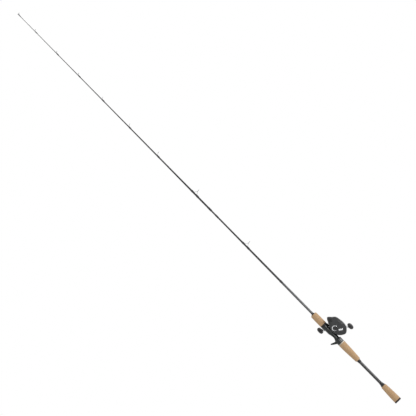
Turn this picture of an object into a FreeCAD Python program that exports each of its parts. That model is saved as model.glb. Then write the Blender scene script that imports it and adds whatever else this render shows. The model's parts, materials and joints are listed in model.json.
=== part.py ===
import FreeCAD, Part
import math
import os

# Two-piece casting rod carrying a low-profile baitcasting reel. Units are millimetres.
# +X runs from the butt to the tip, +Z is the side the reel sits on, and +Y is the palm
# side of the reel, opposite the crank. The origin is the centre of the butt's end face.

V = FreeCAD.Vector
X_AXIS = V(1, 0, 0)
Y_AXIS = V(0, 1, 0)

# ---- rod: stations along X ---------------------------------------------------------
GLUE = 0.02                 # epoxy film between the blank and what is bonded to it
BUTT_CAP_END = 6.5
BUTT_GRIP_END = 79.0
BUTT_CHECK_END = 95.0
REAR_CHECK_START = 198.5
REAR_GRIP_START = 209.0
TRIM_RING_START = 294.0
SEAT_START = 298.0
SEAT_BARREL_END = 318.0
HOOD_START = 372.0
NUT_START = 384.0
FORE_GRIP_START = 392.0
FORE_GRIP_END = 443.0
FORE_CHECK_END = 446.5
SLEEVE_START = 455.0
SLEEVE_END = 604.0
FERRULE_MOUTH = 971.0
SPIGOT_END = 1046.0

# outer radius of each blank at its stations
BUTT_BLANK = [(4.0, 5.65), (198.5, 5.65), (450.0, 4.5), (700.0, 3.7), (880.0, 3.05),
              (FERRULE_MOUTH, 2.95), (SPIGOT_END, 2.85)]
BUTT_BORE = [(4.0, 4.4), (450.0, 3.4), (880.0, 2.1), (SPIGOT_END, 1.9)]
TIP_BLANK = [(FERRULE_MOUTH, 3.5), (1050.0, 3.45), (1246.0, 2.6), (1566.0, 1.75), (1977.0, 0.9)]
TIP_BORE = [(FERRULE_MOUTH, 2.99), (1048.0, 2.887), (1052.0, 2.3), (1246.0, 1.7), (1566.0, 1.0),
            (1900.0, 0.5)]

BARREL_R = 13.5             # rear barrel of the reel seat, and the cork beside it
SEAT_R = 11.0
SEAT_FLAT_Z = 8.0           # trough that the reel foot lies on
THREAD_R = 9.3
HOOD_R = 13.2

# ---- guides: X, height of the ring's centre, ring holder's outer radius, feet ------
GUIDES = [
    ("guide_frame_8", 794.0, 17.2, 6.2, 2),
    ("guide_frame_7", 1058.0, 16.6, 5.9, 2),
    ("guide_frame_6", 1259.0, 11.2, 3.7, 1),
    ("guide_frame_5", 1406.0, 8.8, 3.1, 1),
    ("tip_guide_frames", 1544.0, 6.5, 2.7, 1),
    ("tip_guide_frames", 1668.0, 5.9, 2.6, 1),
    ("tip_guide_frames", 1781.0, 5.6, 2.5, 1),
    ("tip_guide_frames", 1892.0, 5.0, 2.4, 1),
]
GUIDE_LEAN = 9.0            # degrees that each ring's top leans towards the tip
RING_WALL = 0.7             # radial wall of a guide's ring holder
LEG_R = 0.42
FOOT_HALF_WIDTH = 1.1
FOOT_THICK = 0.7
FOOT_LENGTH = 9.0
WRAP_THICK = 0.4

# ---- reel: axes in the XZ plane ----------------------------------------------------
GEAR_MODULE = 0.5
DRIVE_TEETH = 70
PINION_TEETH = 11
SHAFT_COG_TEETH = 36
IDLER_TEETH = 44
WORM_TEETH = 16


def polar(centre, distance, degrees):
    a = math.radians(degrees)
    return (centre[0] + distance * math.cos(a), centre[1] + distance * math.sin(a))


CRANK = (349.5, 21.5)
SPOOL_BEARING_ANGLE = 66.7  # direction from the crank's axis to the spool's
IDLER_ANGLE = 10.5
WORM_ANGLE = 11.0
SPOOL = polar(CRANK, GEAR_MODULE * (DRIVE_TEETH + PINION_TEETH) / 2, SPOOL_BEARING_ANGLE)
IDLER = polar(CRANK, GEAR_MODULE * (SHAFT_COG_TEETH + IDLER_TEETH) / 2, IDLER_ANGLE)
WORM = polar(IDLER, GEAR_MODULE * (IDLER_TEETH + WORM_TEETH) / 2, WORM_ANGLE)
GUIDE_ROD = (379.9, 44.3)
LINE_EYE_Z = 36.2
LINE_EYE_START = 385.6
LINE_EYE_LENGTH = 5.2
DIAL_SEAT = (352.6, 20.5)   # centre of the bezel
DIAL = (351.8, 21.1)        # the dial's own axis, set off so that the bezel is a crescent
LATCH_PIVOT = (336.2, 29.2)

# side outline of the reel's covers
OUTLINE = [(399.8, 30.5), (395.6, 36.2), (387.6, 43.8), (381.8, 50.9), (376.0, 54.2),
           (362.0, 57.2), (342.0, 58.7), (328.0, 55.2), (317.0, 47.0), (310.6, 36.0),
           (314.2, 25.4), (324.0, 13.6), (338.0, 7.2), (354.0, 5.7), (370.0, 9.8),
           (386.0, 18.6), (397.4, 25.2)]
OUTLINE_CENTRE = (352.0, 32.0)

SPOOL_FLANGE_R = 15.5
SPOOL_HALF_WIDTH = 10.5
PLATE_IN = 11.3             # inner and outer faces of the frame's side plates
PLATE_OUT = 13.8
COVER_IN = 14.0
PALM_COVER_OUT = 28.5
CRANK_COVER_OUT = 30.0
SPOOL_SHAFT_R = 1.6
CRANK_SHAFT_R = 3.0
FIT = 0.05                  # radial running clearance
ARM_REACH = 55.5            # crank axis to knob axis
ARM_ANGLE = 126.0
ARM_FACE = 44.0
ARM_THICK = 2.5
KNOB_SHAFT_R = 2.0
FRONT_KNOB = polar(CRANK, ARM_REACH, ARM_ANGLE + 180)
REAR_KNOB = polar(CRANK, ARM_REACH, ARM_ANGLE)


# ---- geometry helpers --------------------------------------------------------------
def face_from(points):
    return Part.Face(Part.makePolygon(points + [points[0]]))


def turned(profile):
    """Solid of revolution about the rod's axis from (x, radius) points."""
    return face_from([V(x, 0, r) for x, r in profile]).revolve(V(0, 0, 0), X_AXIS, 360)


def along_x(radius, x0, x1):
    return Part.makeCylinder(radius, x1 - x0, V(x0, 0, 0), X_AXIS)


def disc(centre, radius, y0, y1):
    """Cylinder along Y about a reel axis."""
    return Part.makeCylinder(radius, abs(y1 - y0), V(centre[0], min(y0, y1), centre[1]), Y_AXIS)


def ring(centre, inner, outer, y0, y1):
    return disc(centre, outer, y0, y1).cut(disc(centre, inner, y0, y1))


def block(x0, x1, y0, y1, z0, z1):
    return Part.makeBox(x1 - x0, y1 - y0, z1 - z0, V(x0, y0, z0))


def fused(shapes):
    return shapes[0].multiFuse(shapes[1:]).removeSplitter()


def rod_between(a, b, radius):
    return Part.makeCylinder(radius, (b - a).Length, a, b - a)


def rounded(shape, radius, chosen):
    """Fillet the edges for which chosen(edge) is true."""
    return shape.makeFillet(radius, [e for e in shape.Edges if chosen(e)])


def radius_at(stations, x):
    """Radius of a tapered blank, straight between its stations."""
    for (x0, r0), (x1, r1) in zip(stations, stations[1:]):
        if x <= x1:
            return r0 + (r1 - r0) * max(0.0, (x - x0) / (x1 - x0))
    return stations[-1][1]


def over_blank(stations, x0, x1, gap=GLUE):
    """The blank's own outside between two stations, grown by a gap, for boring a part."""
    inner = [s for s in stations if x0 < s[0] < x1]
    wall = [(x0, radius_at(stations, x0) + gap)] + [(x, r + gap) for x, r in inner]
    wall.append((x1, radius_at(stations, x1) + gap))
    return turned([(x0, 0)] + wall + [(x1, 0)])


def tube(outer, bore, closed_end=False):
    if closed_end:
        return turned(outer + [(outer[-1][0], 0), (bore[-1][0], 0)] + bore[::-1])
    return turned(outer + bore[::-1])


def section(points, y, scale=1.0, centre=OUTLINE_CENTRE):
    """Smooth closed wire through XZ points, scaled about a centre, at one Y."""
    curve = Part.BSplineCurve()
    placed = [V(centre[0] + (x - centre[0]) * scale, y, centre[1] + (z - centre[1]) * scale)
              for x, z in points]
    curve.interpolate(Points=placed, PeriodicFlag=True)
    return Part.Wire(curve.toShape())


def outline_prism(scale, y0, y1):
    return Part.Face(section(OUTLINE, y0, scale)).extrude(V(0, y1 - y0, 0))


def oval(centre, y, half_x, half_z):
    ellipse = Part.Ellipse(V(0, 0, 0), half_x, half_z)
    edge = ellipse.toShape()
    edge.rotate(V(0, 0, 0), X_AXIS, 90)
    edge.translate(V(centre[0], y, centre[1]))
    return Part.Wire(edge)


# ---- gears -------------------------------------------------------------------------
PRESSURE_ANGLE = math.radians(20)
BACKLASH = 0.05             # taken off each tooth's thickness at the pitch circle


def involute_angle(base_r, r):
    a = math.acos(min(1.0, base_r / r))
    return math.tan(a) - a


def gear_prism(centre, teeth, phase, y0, y1):
    """Spur gear along Y, with one tooth centred on the direction phase, in radians."""
    pitch_r = GEAR_MODULE * teeth / 2
    base_r = pitch_r * math.cos(PRESSURE_ANGLE)
    tip_r = pitch_r + 0.9 * GEAR_MODULE
    root_r = pitch_r - 1.2 * GEAR_MODULE
    half_pitch = math.pi / teeth
    half_tooth = half_pitch / 2 - BACKLASH / (2 * pitch_r) + involute_angle(base_r, pitch_r)
    start_r = max(base_r, root_r)
    flank = [(start_r + (tip_r - start_r) * k / 3) for k in range(4)]
    widths = [(r, half_tooth - involute_angle(base_r, r)) for r in flank]
    widths = [(root_r, widths[0][1])] + widths if start_r > root_r + 0.01 else widths
    points = []
    for tooth in range(teeth):
        mid = phase + 2 * half_pitch * tooth
        for r, half in widths:
            points.append((r, mid - half))
        for r, half in widths[::-1]:
            points.append((r, mid + half))
    corners = [V(centre[0] + r * math.cos(a), y0, centre[1] + r * math.sin(a)) for r, a in points]
    return face_from(corners).extrude(V(0, y1 - y0, 0))


def meshing_phase(teeth, phase, direction, next_teeth):
    """Phase of the next gear so that it meshes along a direction from this gear."""
    past_tooth = (direction - phase) % (2 * math.pi / teeth)
    return direction + math.pi + past_tooth * teeth / next_teeth + math.pi / next_teeth


# ---- rod: blanks, grips and trim ---------------------------------------------------
def butt_blank():
    return tube(BUTT_BLANK, BUTT_BORE)


def tip_blank():
    return tube(TIP_BLANK, TIP_BORE, closed_end=True)


def bonded(profile, stations=BUTT_BLANK):
    """A turned part glued on the blank: its outside, bored to the blank's taper."""
    body = turned([(profile[0][0], 0)] + profile + [(profile[-1][0], 0)])
    return body.cut(over_blank(stations, profile[0][0] - 1, profile[-1][0] + 1))


def swelling(x0, r0, x1, r1, bulge, count=8):
    """Outline of a turned grip: a straight taper with a slight bulge."""
    points = []
    for k in range(count + 1):
        t = k / count
        points.append((x0 + (x1 - x0) * t, r0 + (r1 - r0) * t + bulge * math.sin(math.pi * t)))
    return points


def end_round(x_end, r_end, size, sign, count=5):
    """Quarter-round from the grip's face out to its side; sign is +1 at a rear end."""
    points = []
    for k in range(count + 1):
        a = math.pi / 2 * k / count
        points.append((x_end + sign * size * (1 - math.sin(a)), r_end - size * (1 - math.cos(a))))
    return points


def butt_cap():
    cap = turned([(0, 0)] + end_round(0, BARREL_R, 1.6, 1)[::-1]
                 + [(BUTT_CAP_END, BARREL_R), (BUTT_CAP_END, 0)])
    return cap.cut(along_x(BUTT_BLANK[0][1] + GLUE, BUTT_BLANK[0][0] - GLUE, BUTT_CAP_END + 1))


def butt_grip():
    return bonded(swelling(BUTT_CAP_END, BARREL_R, BUTT_GRIP_END - 2.5, 10.6, 0.5)
                  + end_round(BUTT_GRIP_END, 10.6, 2.5, -1)[1:])


def butt_grip_check():
    return bonded([(BUTT_GRIP_END, 8.4), (BUTT_GRIP_END + 2, 8.6), (BUTT_GRIP_END + 8, 6.9),
                   (BUTT_CHECK_END, 5.95)])


def rear_grip_check():
    return bonded([(REAR_CHECK_START, 6.0), (REAR_CHECK_START + 3, 6.7),
                   (REAR_GRIP_START, 6.9)])


def rear_grip():
    return bonded(end_round(REAR_GRIP_START, 10.0, 3.2, 1)[::-1]
                  + swelling(REAR_GRIP_START + 3.2, 10.0, TRIM_RING_START, BARREL_R, 0.5)[1:])


def rear_trim_ring():
    return bonded([(TRIM_RING_START, BARREL_R), (SEAT_START, BARREL_R)])


def blank_sleeve():
    thick = 0.25
    stations = [(x, radius_at(BUTT_BLANK, x) + thick) for x in (SLEEVE_START, SLEEVE_END)]
    return bonded(stations)


def fore_grip():
    """Cork bonded to the lock nut; bored to clear the seat's thread and the sleeve."""
    body = turned([(FORE_GRIP_START, 0), (FORE_GRIP_START, 12.9)]
                  + swelling(FORE_GRIP_START + 1, 12.9, FORE_GRIP_END - 3, 12.4, 0.3)
                  + end_round(FORE_GRIP_END, 12.4, 3.0, -1)[1:] + [(FORE_GRIP_END, 0)])
    body = body.cut(along_x(THREAD_R + 0.2, FORE_GRIP_START - 1, FORE_GRIP_START + 10))
    return body.cut(along_x(5.8, FORE_GRIP_START, FORE_GRIP_END + 1))


def fore_grip_check():
    body = turned([(FORE_GRIP_END, 0), (FORE_GRIP_END, 7.2), (FORE_GRIP_END + 1, 7.2),
                   (FORE_CHECK_END, 6.3), (FORE_CHECK_END, 0)])
    return body.cut(along_x(5.4, FORE_GRIP_END - 1, FORE_CHECK_END + 1))


# ---- reel seat ---------------------------------------------------------------------
FOOT_TOP = 10.4
FOOT_END_TOP = 9.8
FOOT_END_HALF_WIDTH = 4.5
FOOT_REAR = 313.0
FOOT_FRONT = 377.0


def foot_pocket(x0, x1):
    """Slot under a hood that an end of the reel foot slides into."""
    return block(x0, x1, -FOOT_END_HALF_WIDTH - 0.2, FOOT_END_HALF_WIDTH + 0.2,
                 SEAT_FLAT_Z - 0.1, FOOT_END_TOP + 0.15)


def trigger():
    """Finger hook under the seat, curving towards the tip."""
    rear = Part.BSplineCurve()
    rear.interpolate([V(303.5, 0, -10), V(306.5, 0, -18), V(311.5, 0, -26.5), V(318.5, 0, -32.6)])
    front = Part.BSplineCurve()
    front.interpolate([V(321.4, 0, -29.6), V(316.6, 0, -24), V(315.2, 0, -17.5), V(319.5, 0, -10)])
    tip = Part.Arc(V(318.5, 0, -32.6), V(321.3, 0, -32.2), V(321.4, 0, -29.6)).toShape()
    root = Part.LineSegment(V(319.5, 0, -10), V(303.5, 0, -10)).toShape()
    side = Part.Face(Part.Wire([rear.toShape(), tip, front.toShape(), root]))
    half_width = 4.6
    side.translate(V(0, -half_width, 0))
    hook = side.extrude(V(0, 2 * half_width, 0))
    return rounded(hook, 1.5, lambda e: abs(e.CenterOfMass.y) > half_width - 0.01
                   and e.BoundBox.ZMin < -11)


def finger_scoop():
    """Cutter for the hollow under the seat, ahead of the trigger, where a finger lies."""
    curve = Part.BSplineCurve()
    curve.interpolate([V(318.0, -20, -14), V(321.0, -20, -9.6), V(327.0, -20, -7.2),
                       V(334.0, -20, -6.7), V(343.0, -20, -8.2), V(355.0, -20, -12.0)])
    closing = Part.LineSegment(V(355.0, -20, -12.0), V(318.0, -20, -14)).toShape()
    below = Part.Face(Part.Wire([curve.toShape(), closing]))
    return below.extrude(V(0, 40, 0))


def reel_seat():
    barrel = turned([(SEAT_START, 0), (SEAT_START, BARREL_R)]
                    + end_round(SEAT_BARREL_END, BARREL_R, 2.5, -1) + [(SEAT_BARREL_END, 0)])
    saddle = along_x(SEAT_R, SEAT_BARREL_END - 1, NUT_START)
    stub = along_x(THREAD_R, NUT_START, FORE_GRIP_START + 8)
    trough = block(SEAT_BARREL_END, NUT_START, -20, 20, SEAT_FLAT_Z, 20)
    body = fused([barrel, saddle.cut(trough), stub]).cut(finger_scoop())
    body = fused([body, trigger()])
    body = body.cut(foot_pocket(FOOT_REAR - 1, SEAT_BARREL_END + 1))
    return body.cut(over_blank(BUTT_BLANK, SEAT_START - 1, FORE_GRIP_START + 9))


def seat_hood():
    """Sliding hood over the front end of the reel foot."""
    body = turned([(HOOD_START, 0), (HOOD_START, 12.0), (HOOD_START + 2, HOOD_R),
                   (NUT_START - 0.1, HOOD_R), (NUT_START - 0.1, 0)])
    body = body.cut(along_x(SEAT_R + FIT, HOOD_START - 1, NUT_START))
    web = block(HOOD_START, NUT_START - 0.1, -6.5, 6.5, THREAD_R + FIT, 12.0)
    web = web.common(along_x(HOOD_R - 0.1, HOOD_START, NUT_START))
    body = fused([body, web])
    return body.cut(foot_pocket(HOOD_START - 1, FOOT_FRONT + 0.3))


def seat_lock_nut():
    body = turned([(NUT_START, 0), (NUT_START, 13.0), (FORE_GRIP_START, 13.0), (FORE_GRIP_START, 0)])
    grooves = [ring_groove(x) for x in (NUT_START + 2.0, NUT_START + 4.0, NUT_START + 6.0)]
    for groove in grooves:
        body = body.cut(groove)
    return body.cut(along_x(THREAD_R + FIT, NUT_START - 1, FORE_GRIP_START + 1))


def ring_groove(x):
    """Shallow round groove about the rod, as on the lock nut."""
    outer = along_x(14.0, x - 0.35, x + 0.35)
    return outer.cut(along_x(12.6, x - 0.5, x + 0.5))


# ---- guides ------------------------------------------------------------------------
def stations_at(x):
    return BUTT_BLANK if x < FERRULE_MOUTH else TIP_BLANK


def ring_holder(x, z, outer, inner, width):
    holder = Part.makeCylinder(outer, width, V(x - width / 2, 0, z), X_AXIS)
    holder = holder.cut(Part.makeCylinder(inner, width + 2, V(x - width / 2 - 1, 0, z), X_AXIS))
    holder.rotate(V(x, 0, z), Y_AXIS, GUIDE_LEAN)
    return holder


def ring_insert(x, z, outer, lean=GUIDE_LEAN):
    """Polished ceramic ring: a torus that the line runs through."""
    bead = 0.12 * outer + 0.1
    insert = Part.makeTorus(outer - bead, bead, V(x, 0, z), X_AXIS)
    insert.rotate(V(x, 0, z), Y_AXIS, lean)
    return insert


def foot_spans(x, outer, feet):
    """Start and end of each foot along X, the end nearer the ring first."""
    reach = outer * 0.75 + 2.0
    spans = [(x - reach, x - reach - FOOT_LENGTH)]
    if feet == 2:
        spans.append((x + reach, x + reach + FOOT_LENGTH))
    return spans


def foot_plate(near, far):
    low, high = min(near, far), max(near, far)
    base = radius_at(stations_at(low), low)
    return block(low, high, -FOOT_HALF_WIDTH, FOOT_HALF_WIDTH, 0.5 * base, base + FOOT_THICK)


def blank_core(x0, x1):
    """Solid that fills the blank over a stretch, with the glue film."""
    return over_blank(stations_at(x0), x0, x1)


def guide_frame(x, z, outer, feet):
    """Ring holder on thin legs that run down to one or two flat feet."""
    holder = ring_holder(x, z, outer, outer - RING_WALL, 1.1)
    pieces = [holder]
    for near, far in foot_spans(x, outer, feet):
        base = radius_at(stations_at(x), x) + FOOT_THICK * 0.5
        toe = V(near - (1.2 if far > near else -1.2), 0, base)
        low_end = V(near + (0.8 if far > near else -0.8), 0, base)
        for side in (-1, 1):
            a = math.radians(215 if side < 0 else 325)
            hip = V(x, (outer - RING_WALL / 2) * math.cos(a), z + (outer - RING_WALL / 2) * math.sin(a))
            pieces.append(rod_between(hip, low_end, LEG_R))
        pieces.append(rod_between(toe, low_end, LEG_R))
        pieces.append(foot_plate(near, far))
    body = fused(pieces)
    bore = Part.makeCylinder(outer - RING_WALL, 8, V(x - 4, 0, z), X_AXIS)
    bore.rotate(V(x, 0, z), Y_AXIS, GUIDE_LEAN)
    return body.cut(bore).cut(blank_core(x - outer - 16, x + outer + 16))


def foot_wrap(near, far):
    """Thread wound over a guide foot and round the blank."""
    start = near + (2.0 if far > near else -2.0)
    end = far + (3.0 if far > near else -3.0)
    low, high = min(start, end), max(start, end)
    stations = stations_at(low)
    sleeve = over_blank(stations, low, high, WRAP_THICK)
    base = radius_at(stations, (low + high) / 2)
    ridge = block(low, high, -FOOT_HALF_WIDTH - 0.45, FOOT_HALF_WIDTH + 0.45, 0,
                  base + FOOT_THICK + WRAP_THICK)
    wrap = fused([sleeve, ridge])
    near_low, near_high = min(near, far), max(near, far)
    base_low = radius_at(stations, near_low)
    foot = block(near_low - GLUE, near_high + GLUE, -FOOT_HALF_WIDTH - GLUE, FOOT_HALF_WIDTH + GLUE,
                 0, base_low + FOOT_THICK + GLUE)
    return wrap.cut(foot).cut(over_blank(stations, low - 1, high + 1))


def plain_wrap(x0, x1):
    stations = stations_at(x0)
    return over_blank(stations, x0, x1, WRAP_THICK).cut(over_blank(stations, x0 - 1, x1 + 1))


def wraps(on_tip):
    pieces = []
    for _, x, _, outer, feet in GUIDES:
        if (x > FERRULE_MOUTH) == on_tip:
            pieces += [foot_wrap(near, far) for near, far in foot_spans(x, outer, feet)]
    if on_tip:
        pieces.append(plain_wrap(FERRULE_MOUTH, FERRULE_MOUTH + 18))
    else:
        pieces.append(plain_wrap(935.0, 951.0))
        pieces.append(plain_wrap(SLEEVE_END, SLEEVE_END + 12))
    return Part.makeCompound(pieces)


def guide_rings(on_tip):
    rings = [ring_insert(x, z, outer - RING_WALL - GLUE)
             for _, x, z, outer, _ in GUIDES if (x > FERRULE_MOUTH) == on_tip]
    return Part.makeCompound(rings + ([tip_ring()] if on_tip else []))


TIP_RING = (1976.6, 4.5)
TIP_RING_R = 2.9
TIP_LEAN = 38.0


def tip_top():
    """Socket over the tip with a ring held up and forward of it."""
    socket_start = 1962.0
    socket = bonded([(socket_start, 1.35), (1977.0, 1.35)], TIP_BLANK)
    plug = along_x(1.35, 1976.5, 1978.0)
    x, z = TIP_RING
    holder = Part.makeCylinder(TIP_RING_R, 1.1, V(x - 0.55, 0, z), X_AXIS)
    holder.rotate(V(x, 0, z), Y_AXIS, TIP_LEAN)
    pieces = [socket, plug, holder]
    for side in (-1, 1):
        hip = V(x - 0.8, side * (TIP_RING_R - 0.5), z - 0.3)
        pieces.append(rod_between(V(1966.0, side * 0.8, 1.1), hip, 0.38))
    body = fused(pieces)
    bore = Part.makeCylinder(TIP_RING_R - 0.6, 8, V(x - 4, 0, z), X_AXIS)
    bore.rotate(V(x, 0, z), Y_AXIS, TIP_LEAN)
    return body.cut(bore).cut(over_blank(TIP_BLANK, 1950, 1977.0 + GLUE))


def tip_ring():
    """Line outlet: a ceramic ring with a short straight bore between rounded mouths."""
    x, z = TIP_RING
    outer = TIP_RING_R - 0.6 - GLUE
    inner = 1.6
    half = 0.75
    body = Part.makeCylinder(outer, 2 * half, V(x - half, 0, z), X_AXIS)
    body = body.cut(Part.makeCylinder(inner, 2 * half, V(x - half, 0, z), X_AXIS))
    body = rounded(body, 0.25, lambda e: e.Curve.TypeId == "Part::GeomCircle")
    body.rotate(V(x, 0, z), Y_AXIS, TIP_LEAN)
    return body


# ---- reel: frame and covers --------------------------------------------------------
def lofted(sections):
    """Solid through the side outline at (y, scale) sections."""
    return Part.makeLoft([section(OUTLINE, y, s) for y, s in sections], True, False)


def cover_hollow(sections, wall):
    """The space inside a cover, open on its inner face."""
    sign = 1 if sections[-1][0] > 0 else -1
    depth = [0.01] + [wall * 0.5] * (len(sections) - 2) + [wall]
    return lofted([(y - sign * d, s - wall / 27.0) for (y, s), d in zip(sections, depth)])


PALM_SECTIONS = [(COVER_IN, 1.0), (19.0, 1.0), (23.5, 0.975), (26.8, 0.91), (PALM_COVER_OUT, 0.81)]
CRANK_SECTIONS = [(-COVER_IN, 1.0), (-20.0, 0.995), (-25.0, 0.96), (-28.4, 0.88),
                  (-CRANK_COVER_OUT, 0.76)]
BEARING_OUTER = 4.5
BEARING_SEAT = 6.4
DIAL_R = 8.0
BEZEL_R = 10.2


def palm_side_cover():
    """Shell with a bearing post, a locating lip round the spool opening and a dial boss."""
    hollow = cover_hollow(PALM_SECTIONS, 1.8)
    hollow = hollow.cut(disc(SPOOL, BEARING_SEAT, 10.0, 30.0))
    hollow = hollow.cut(ring(SPOOL, 14.2, 15.8, 10.0, 30.0))
    hollow = hollow.cut(disc(DIAL_SEAT, BEZEL_R + 0.8, 18.0, 30.0))
    body = lofted(PALM_SECTIONS).fuse(ring(SPOOL, 14.2, 15.8, 11.6, COVER_IN + 0.5)).cut(hollow)
    body = body.fuse(disc(SPOOL, BEARING_SEAT, 11.9, COVER_IN + 1))
    body = body.cut(disc(SPOOL, BEARING_OUTER + GLUE, 11.0, 17.6)).cut(disc(SPOOL, 3.2, 17.0, 18.6))
    body = body.cut(disc(DIAL_SEAT, BEZEL_R + GLUE, PALM_COVER_OUT - 1.2, 40))
    body = body.cut(disc(DIAL, DIAL_R + 0.15, PALM_COVER_OUT - 3.6, 40))
    body = body.cut(disc(DIAL, 2.0 + FIT, 16.0, 40))
    return body.cut(disc(LATCH_PIVOT, 1.5 + FIT, PALM_COVER_OUT - 2.5, 40))


def handle_side_cover():
    """Shell bulged round the drive gear, with seats for the clutch and the tension knob."""
    hollow = cover_hollow(CRANK_SECTIONS, 1.6)
    for screw in COVER_SCREWS:
        hollow = hollow.cut(disc(screw, SCREW_HEAD_R + 1.0, -10.0, -32.0))
    gear_case = disc(CRANK, 20.0, -COVER_IN, -27.5)
    gear_case = rounded(gear_case, 3.0, lambda e: e.CenterOfMass.y < -27 and e.Curve.TypeId
                        == "Part::GeomCircle")
    clutch_case = disc(CRANK, 9.6, -26.5, -33.2)
    cap_seat = disc(SPOOL, 6.6, -26.0, -31.5)
    body = fused([lofted(CRANK_SECTIONS).cut(hollow), gear_case, clutch_case, cap_seat])
    body = body.cut(disc(CRANK, 18.8, -COVER_IN + 1, -26.0))
    body = body.cut(disc(IDLER, 12.3, -COVER_IN + 1, -18.9))
    body = body.cut(disc(CRANK, 8.1, -24.0, -31.8)).cut(disc(CRANK, 5.3, -31.0, -34.0))
    body = body.cut(disc(SPOOL, 4.2, -COVER_IN, -28.6))
    body = body.cut(block(341.0, 374.0, -18.7, -COVER_IN + 1, 36.6, 45.6))
    body = body.cut(disc(SPOOL, BEARING_OUTER + GLUE, -28.5, -40))
    for post in YOKE_POSTS:
        body = body.cut(disc(post, 2.4, -COVER_IN, -24.6))
    for screw in COVER_SCREWS:
        body = body.cut(disc(screw, SCREW_HEAD_R + 0.1, -27.4, -40))
        body = body.cut(disc(screw, SCREW_R + GLUE, -12.0, -27.5))
    return body.removeSplitter()


COVER_SCREWS = [(321.5, 36.5), (334.0, 51.0), (383.5, 40.0)]
SCREW_R = 1.1
SCREW_HEAD_R = 2.2
YOKE_POSTS = [(344.6, 41.2), (370.4, 41.2)]


def cover_screws():
    pieces = []
    for screw in COVER_SCREWS:
        head = disc(screw, SCREW_HEAD_R, -27.42, -28.6)
        slot = block(screw[0] - 2.0, screw[0] + 2.0, -29, -28.1, screw[1] - 0.3, screw[1] + 0.3)
        cross = block(screw[0] - 0.3, screw[0] + 0.3, -29, -28.1, screw[1] - 2.0, screw[1] + 2.0)
        pieces.append(head.fuse(disc(screw, SCREW_R, -12.5, -27.42)).cut(slot).cut(cross))
    return Part.makeCompound(pieces)


def reel_foot():
    """Foot plate that the seat's two hoods clamp, thin and narrow at both ends."""
    half = FOOT_END_HALF_WIDTH
    ends = block(FOOT_REAR, FOOT_FRONT, -half, half, SEAT_FLAT_Z + GLUE, FOOT_END_TOP)
    middle = block(323, 367, -7.3, 7.3, SEAT_FLAT_Z + GLUE, FOOT_TOP)
    middle = rounded(middle, 4.0, lambda e: abs(e.CenterOfMass.y) > 7 and e.BoundBox.ZLength > 2)
    return fused([ends, middle])


def reel_frame():
    """One-piece frame: two side plates joined by the rear wall, trough, beams and foot."""
    band = outline_prism(0.985, -PLATE_IN, PLATE_IN).cut(outline_prism(0.925, -PLATE_IN, PLATE_IN))
    band = band.cut(block(300, 410, -20, 20, 0, 13.5))
    band = band.cut(block(319, 420, -20, 20, 44.5, 80))
    band = band.cut(block(378, 420, -20, 20, 24.2, 60))
    plates = [outline_prism(0.985, y, y + PLATE_OUT - PLATE_IN) for y in (-PLATE_OUT, PLATE_IN)]
    trough = ring(SPOOL, 17.2, 19.2, -PLATE_IN, PLATE_IN)
    trough = trough.cut(block(300, 410, -20, 20, 29.0, 80))
    pedestal = block(335, 366, -7.0, 7.0, FOOT_TOP - 1, 22.0).cut(disc(SPOOL, 18.0, -8, 8))
    body = fused([band] + plates + [trough, pedestal, reel_foot()])
    body = body.cut(disc(SPOOL, 16.0, PLATE_IN - 1, PLATE_OUT + 1))
    body = body.cut(disc(SPOOL, 3.9, -PLATE_IN + 1, -PLATE_OUT - 1))
    body = body.cut(disc(CRANK, 5.5 + GLUE, -PLATE_IN, -PLATE_OUT - 1))
    body = body.cut(disc(IDLER, 1.5 + GLUE, -PLATE_IN - 0.5, -PLATE_OUT - 1))
    body = body.cut(disc(WORM, 1.8 + FIT, -PLATE_OUT - 1, PLATE_OUT + 1))
    body = body.cut(disc(GUIDE_ROD, 1.1 + GLUE, -PLATE_OUT - 1, PLATE_OUT + 1))
    for post in YOKE_POSTS:
        body = body.cut(disc(post, 1.0 + GLUE, -PLATE_IN - 0.5, -PLATE_OUT - 1))
    for screw in COVER_SCREWS:
        body = body.cut(disc(screw, SCREW_R + GLUE, -PLATE_IN - 0.5, -PLATE_OUT - 1))
    return body.cut(block(HOOD_START - 2, 400, -14, 14, 0, FOOT_END_TOP + 3.5).cut(
        block(HOOD_START - 3, FOOT_FRONT, -6, 6, 0, 14)))


def nose_cover():
    """Top front cover over the level wind, between the side plates."""
    band = outline_prism(0.985, -PLATE_IN, PLATE_IN).cut(outline_prism(0.93, -12, 12))
    band = band.common(block(373.5, 410, -PLATE_IN + GLUE, PLATE_IN - GLUE, 41.0, 70))
    return band.cut(disc(GUIDE_ROD, 1.1 + 0.2, -20, 20))


# ---- reel: spool and its drive -----------------------------------------------------
def spool():
    """Ported spool: two thin flanges on a hollow arbor with a central hub."""
    w = SPOOL_HALF_WIDTH
    flanges = [ring(SPOOL, 8.6, SPOOL_FLANGE_R, w - 1.2, w), ring(SPOOL, 8.6, SPOOL_FLANGE_R, -w, 1.2 - w)]
    arbor = ring(SPOOL, 8.6, 9.8, -w, w)
    web = disc(SPOOL, 9.0, -1.2, 1.2)
    hub = disc(SPOOL, 3.4, -w, w)
    body = fused(flanges + [arbor, web, hub])
    for k in range(10):
        a = 36.0 * k
        hole = polar(SPOOL, 12.7, a)
        body = body.cut(disc(hole, 1.6, -w - 1, w + 1))
    return body.cut(disc(SPOOL, SPOOL_SHAFT_R + 0.01, -w - 1, w + 1))


def spool_shaft():
    shaft = disc(SPOOL, SPOOL_SHAFT_R, -30.4, 16.6)
    x, z = SPOOL
    pin = Part.makeCylinder(0.6, 4.8, V(x - 2.4, -12.4, z), X_AXIS)
    return shaft.fuse(pin)


def ball_bearing(centre, bore, outer, y0, y1):
    """Closed bearing: inner and outer races joined by a recessed shield."""
    race = (outer - bore) * 0.25
    return fused([ring(centre, bore, bore + race, y0, y1), ring(centre, outer - race, outer, y0, y1),
                  ring(centre, bore + race / 2, outer - race / 2, y0 + 0.3, y1 - 0.3)])


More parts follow.
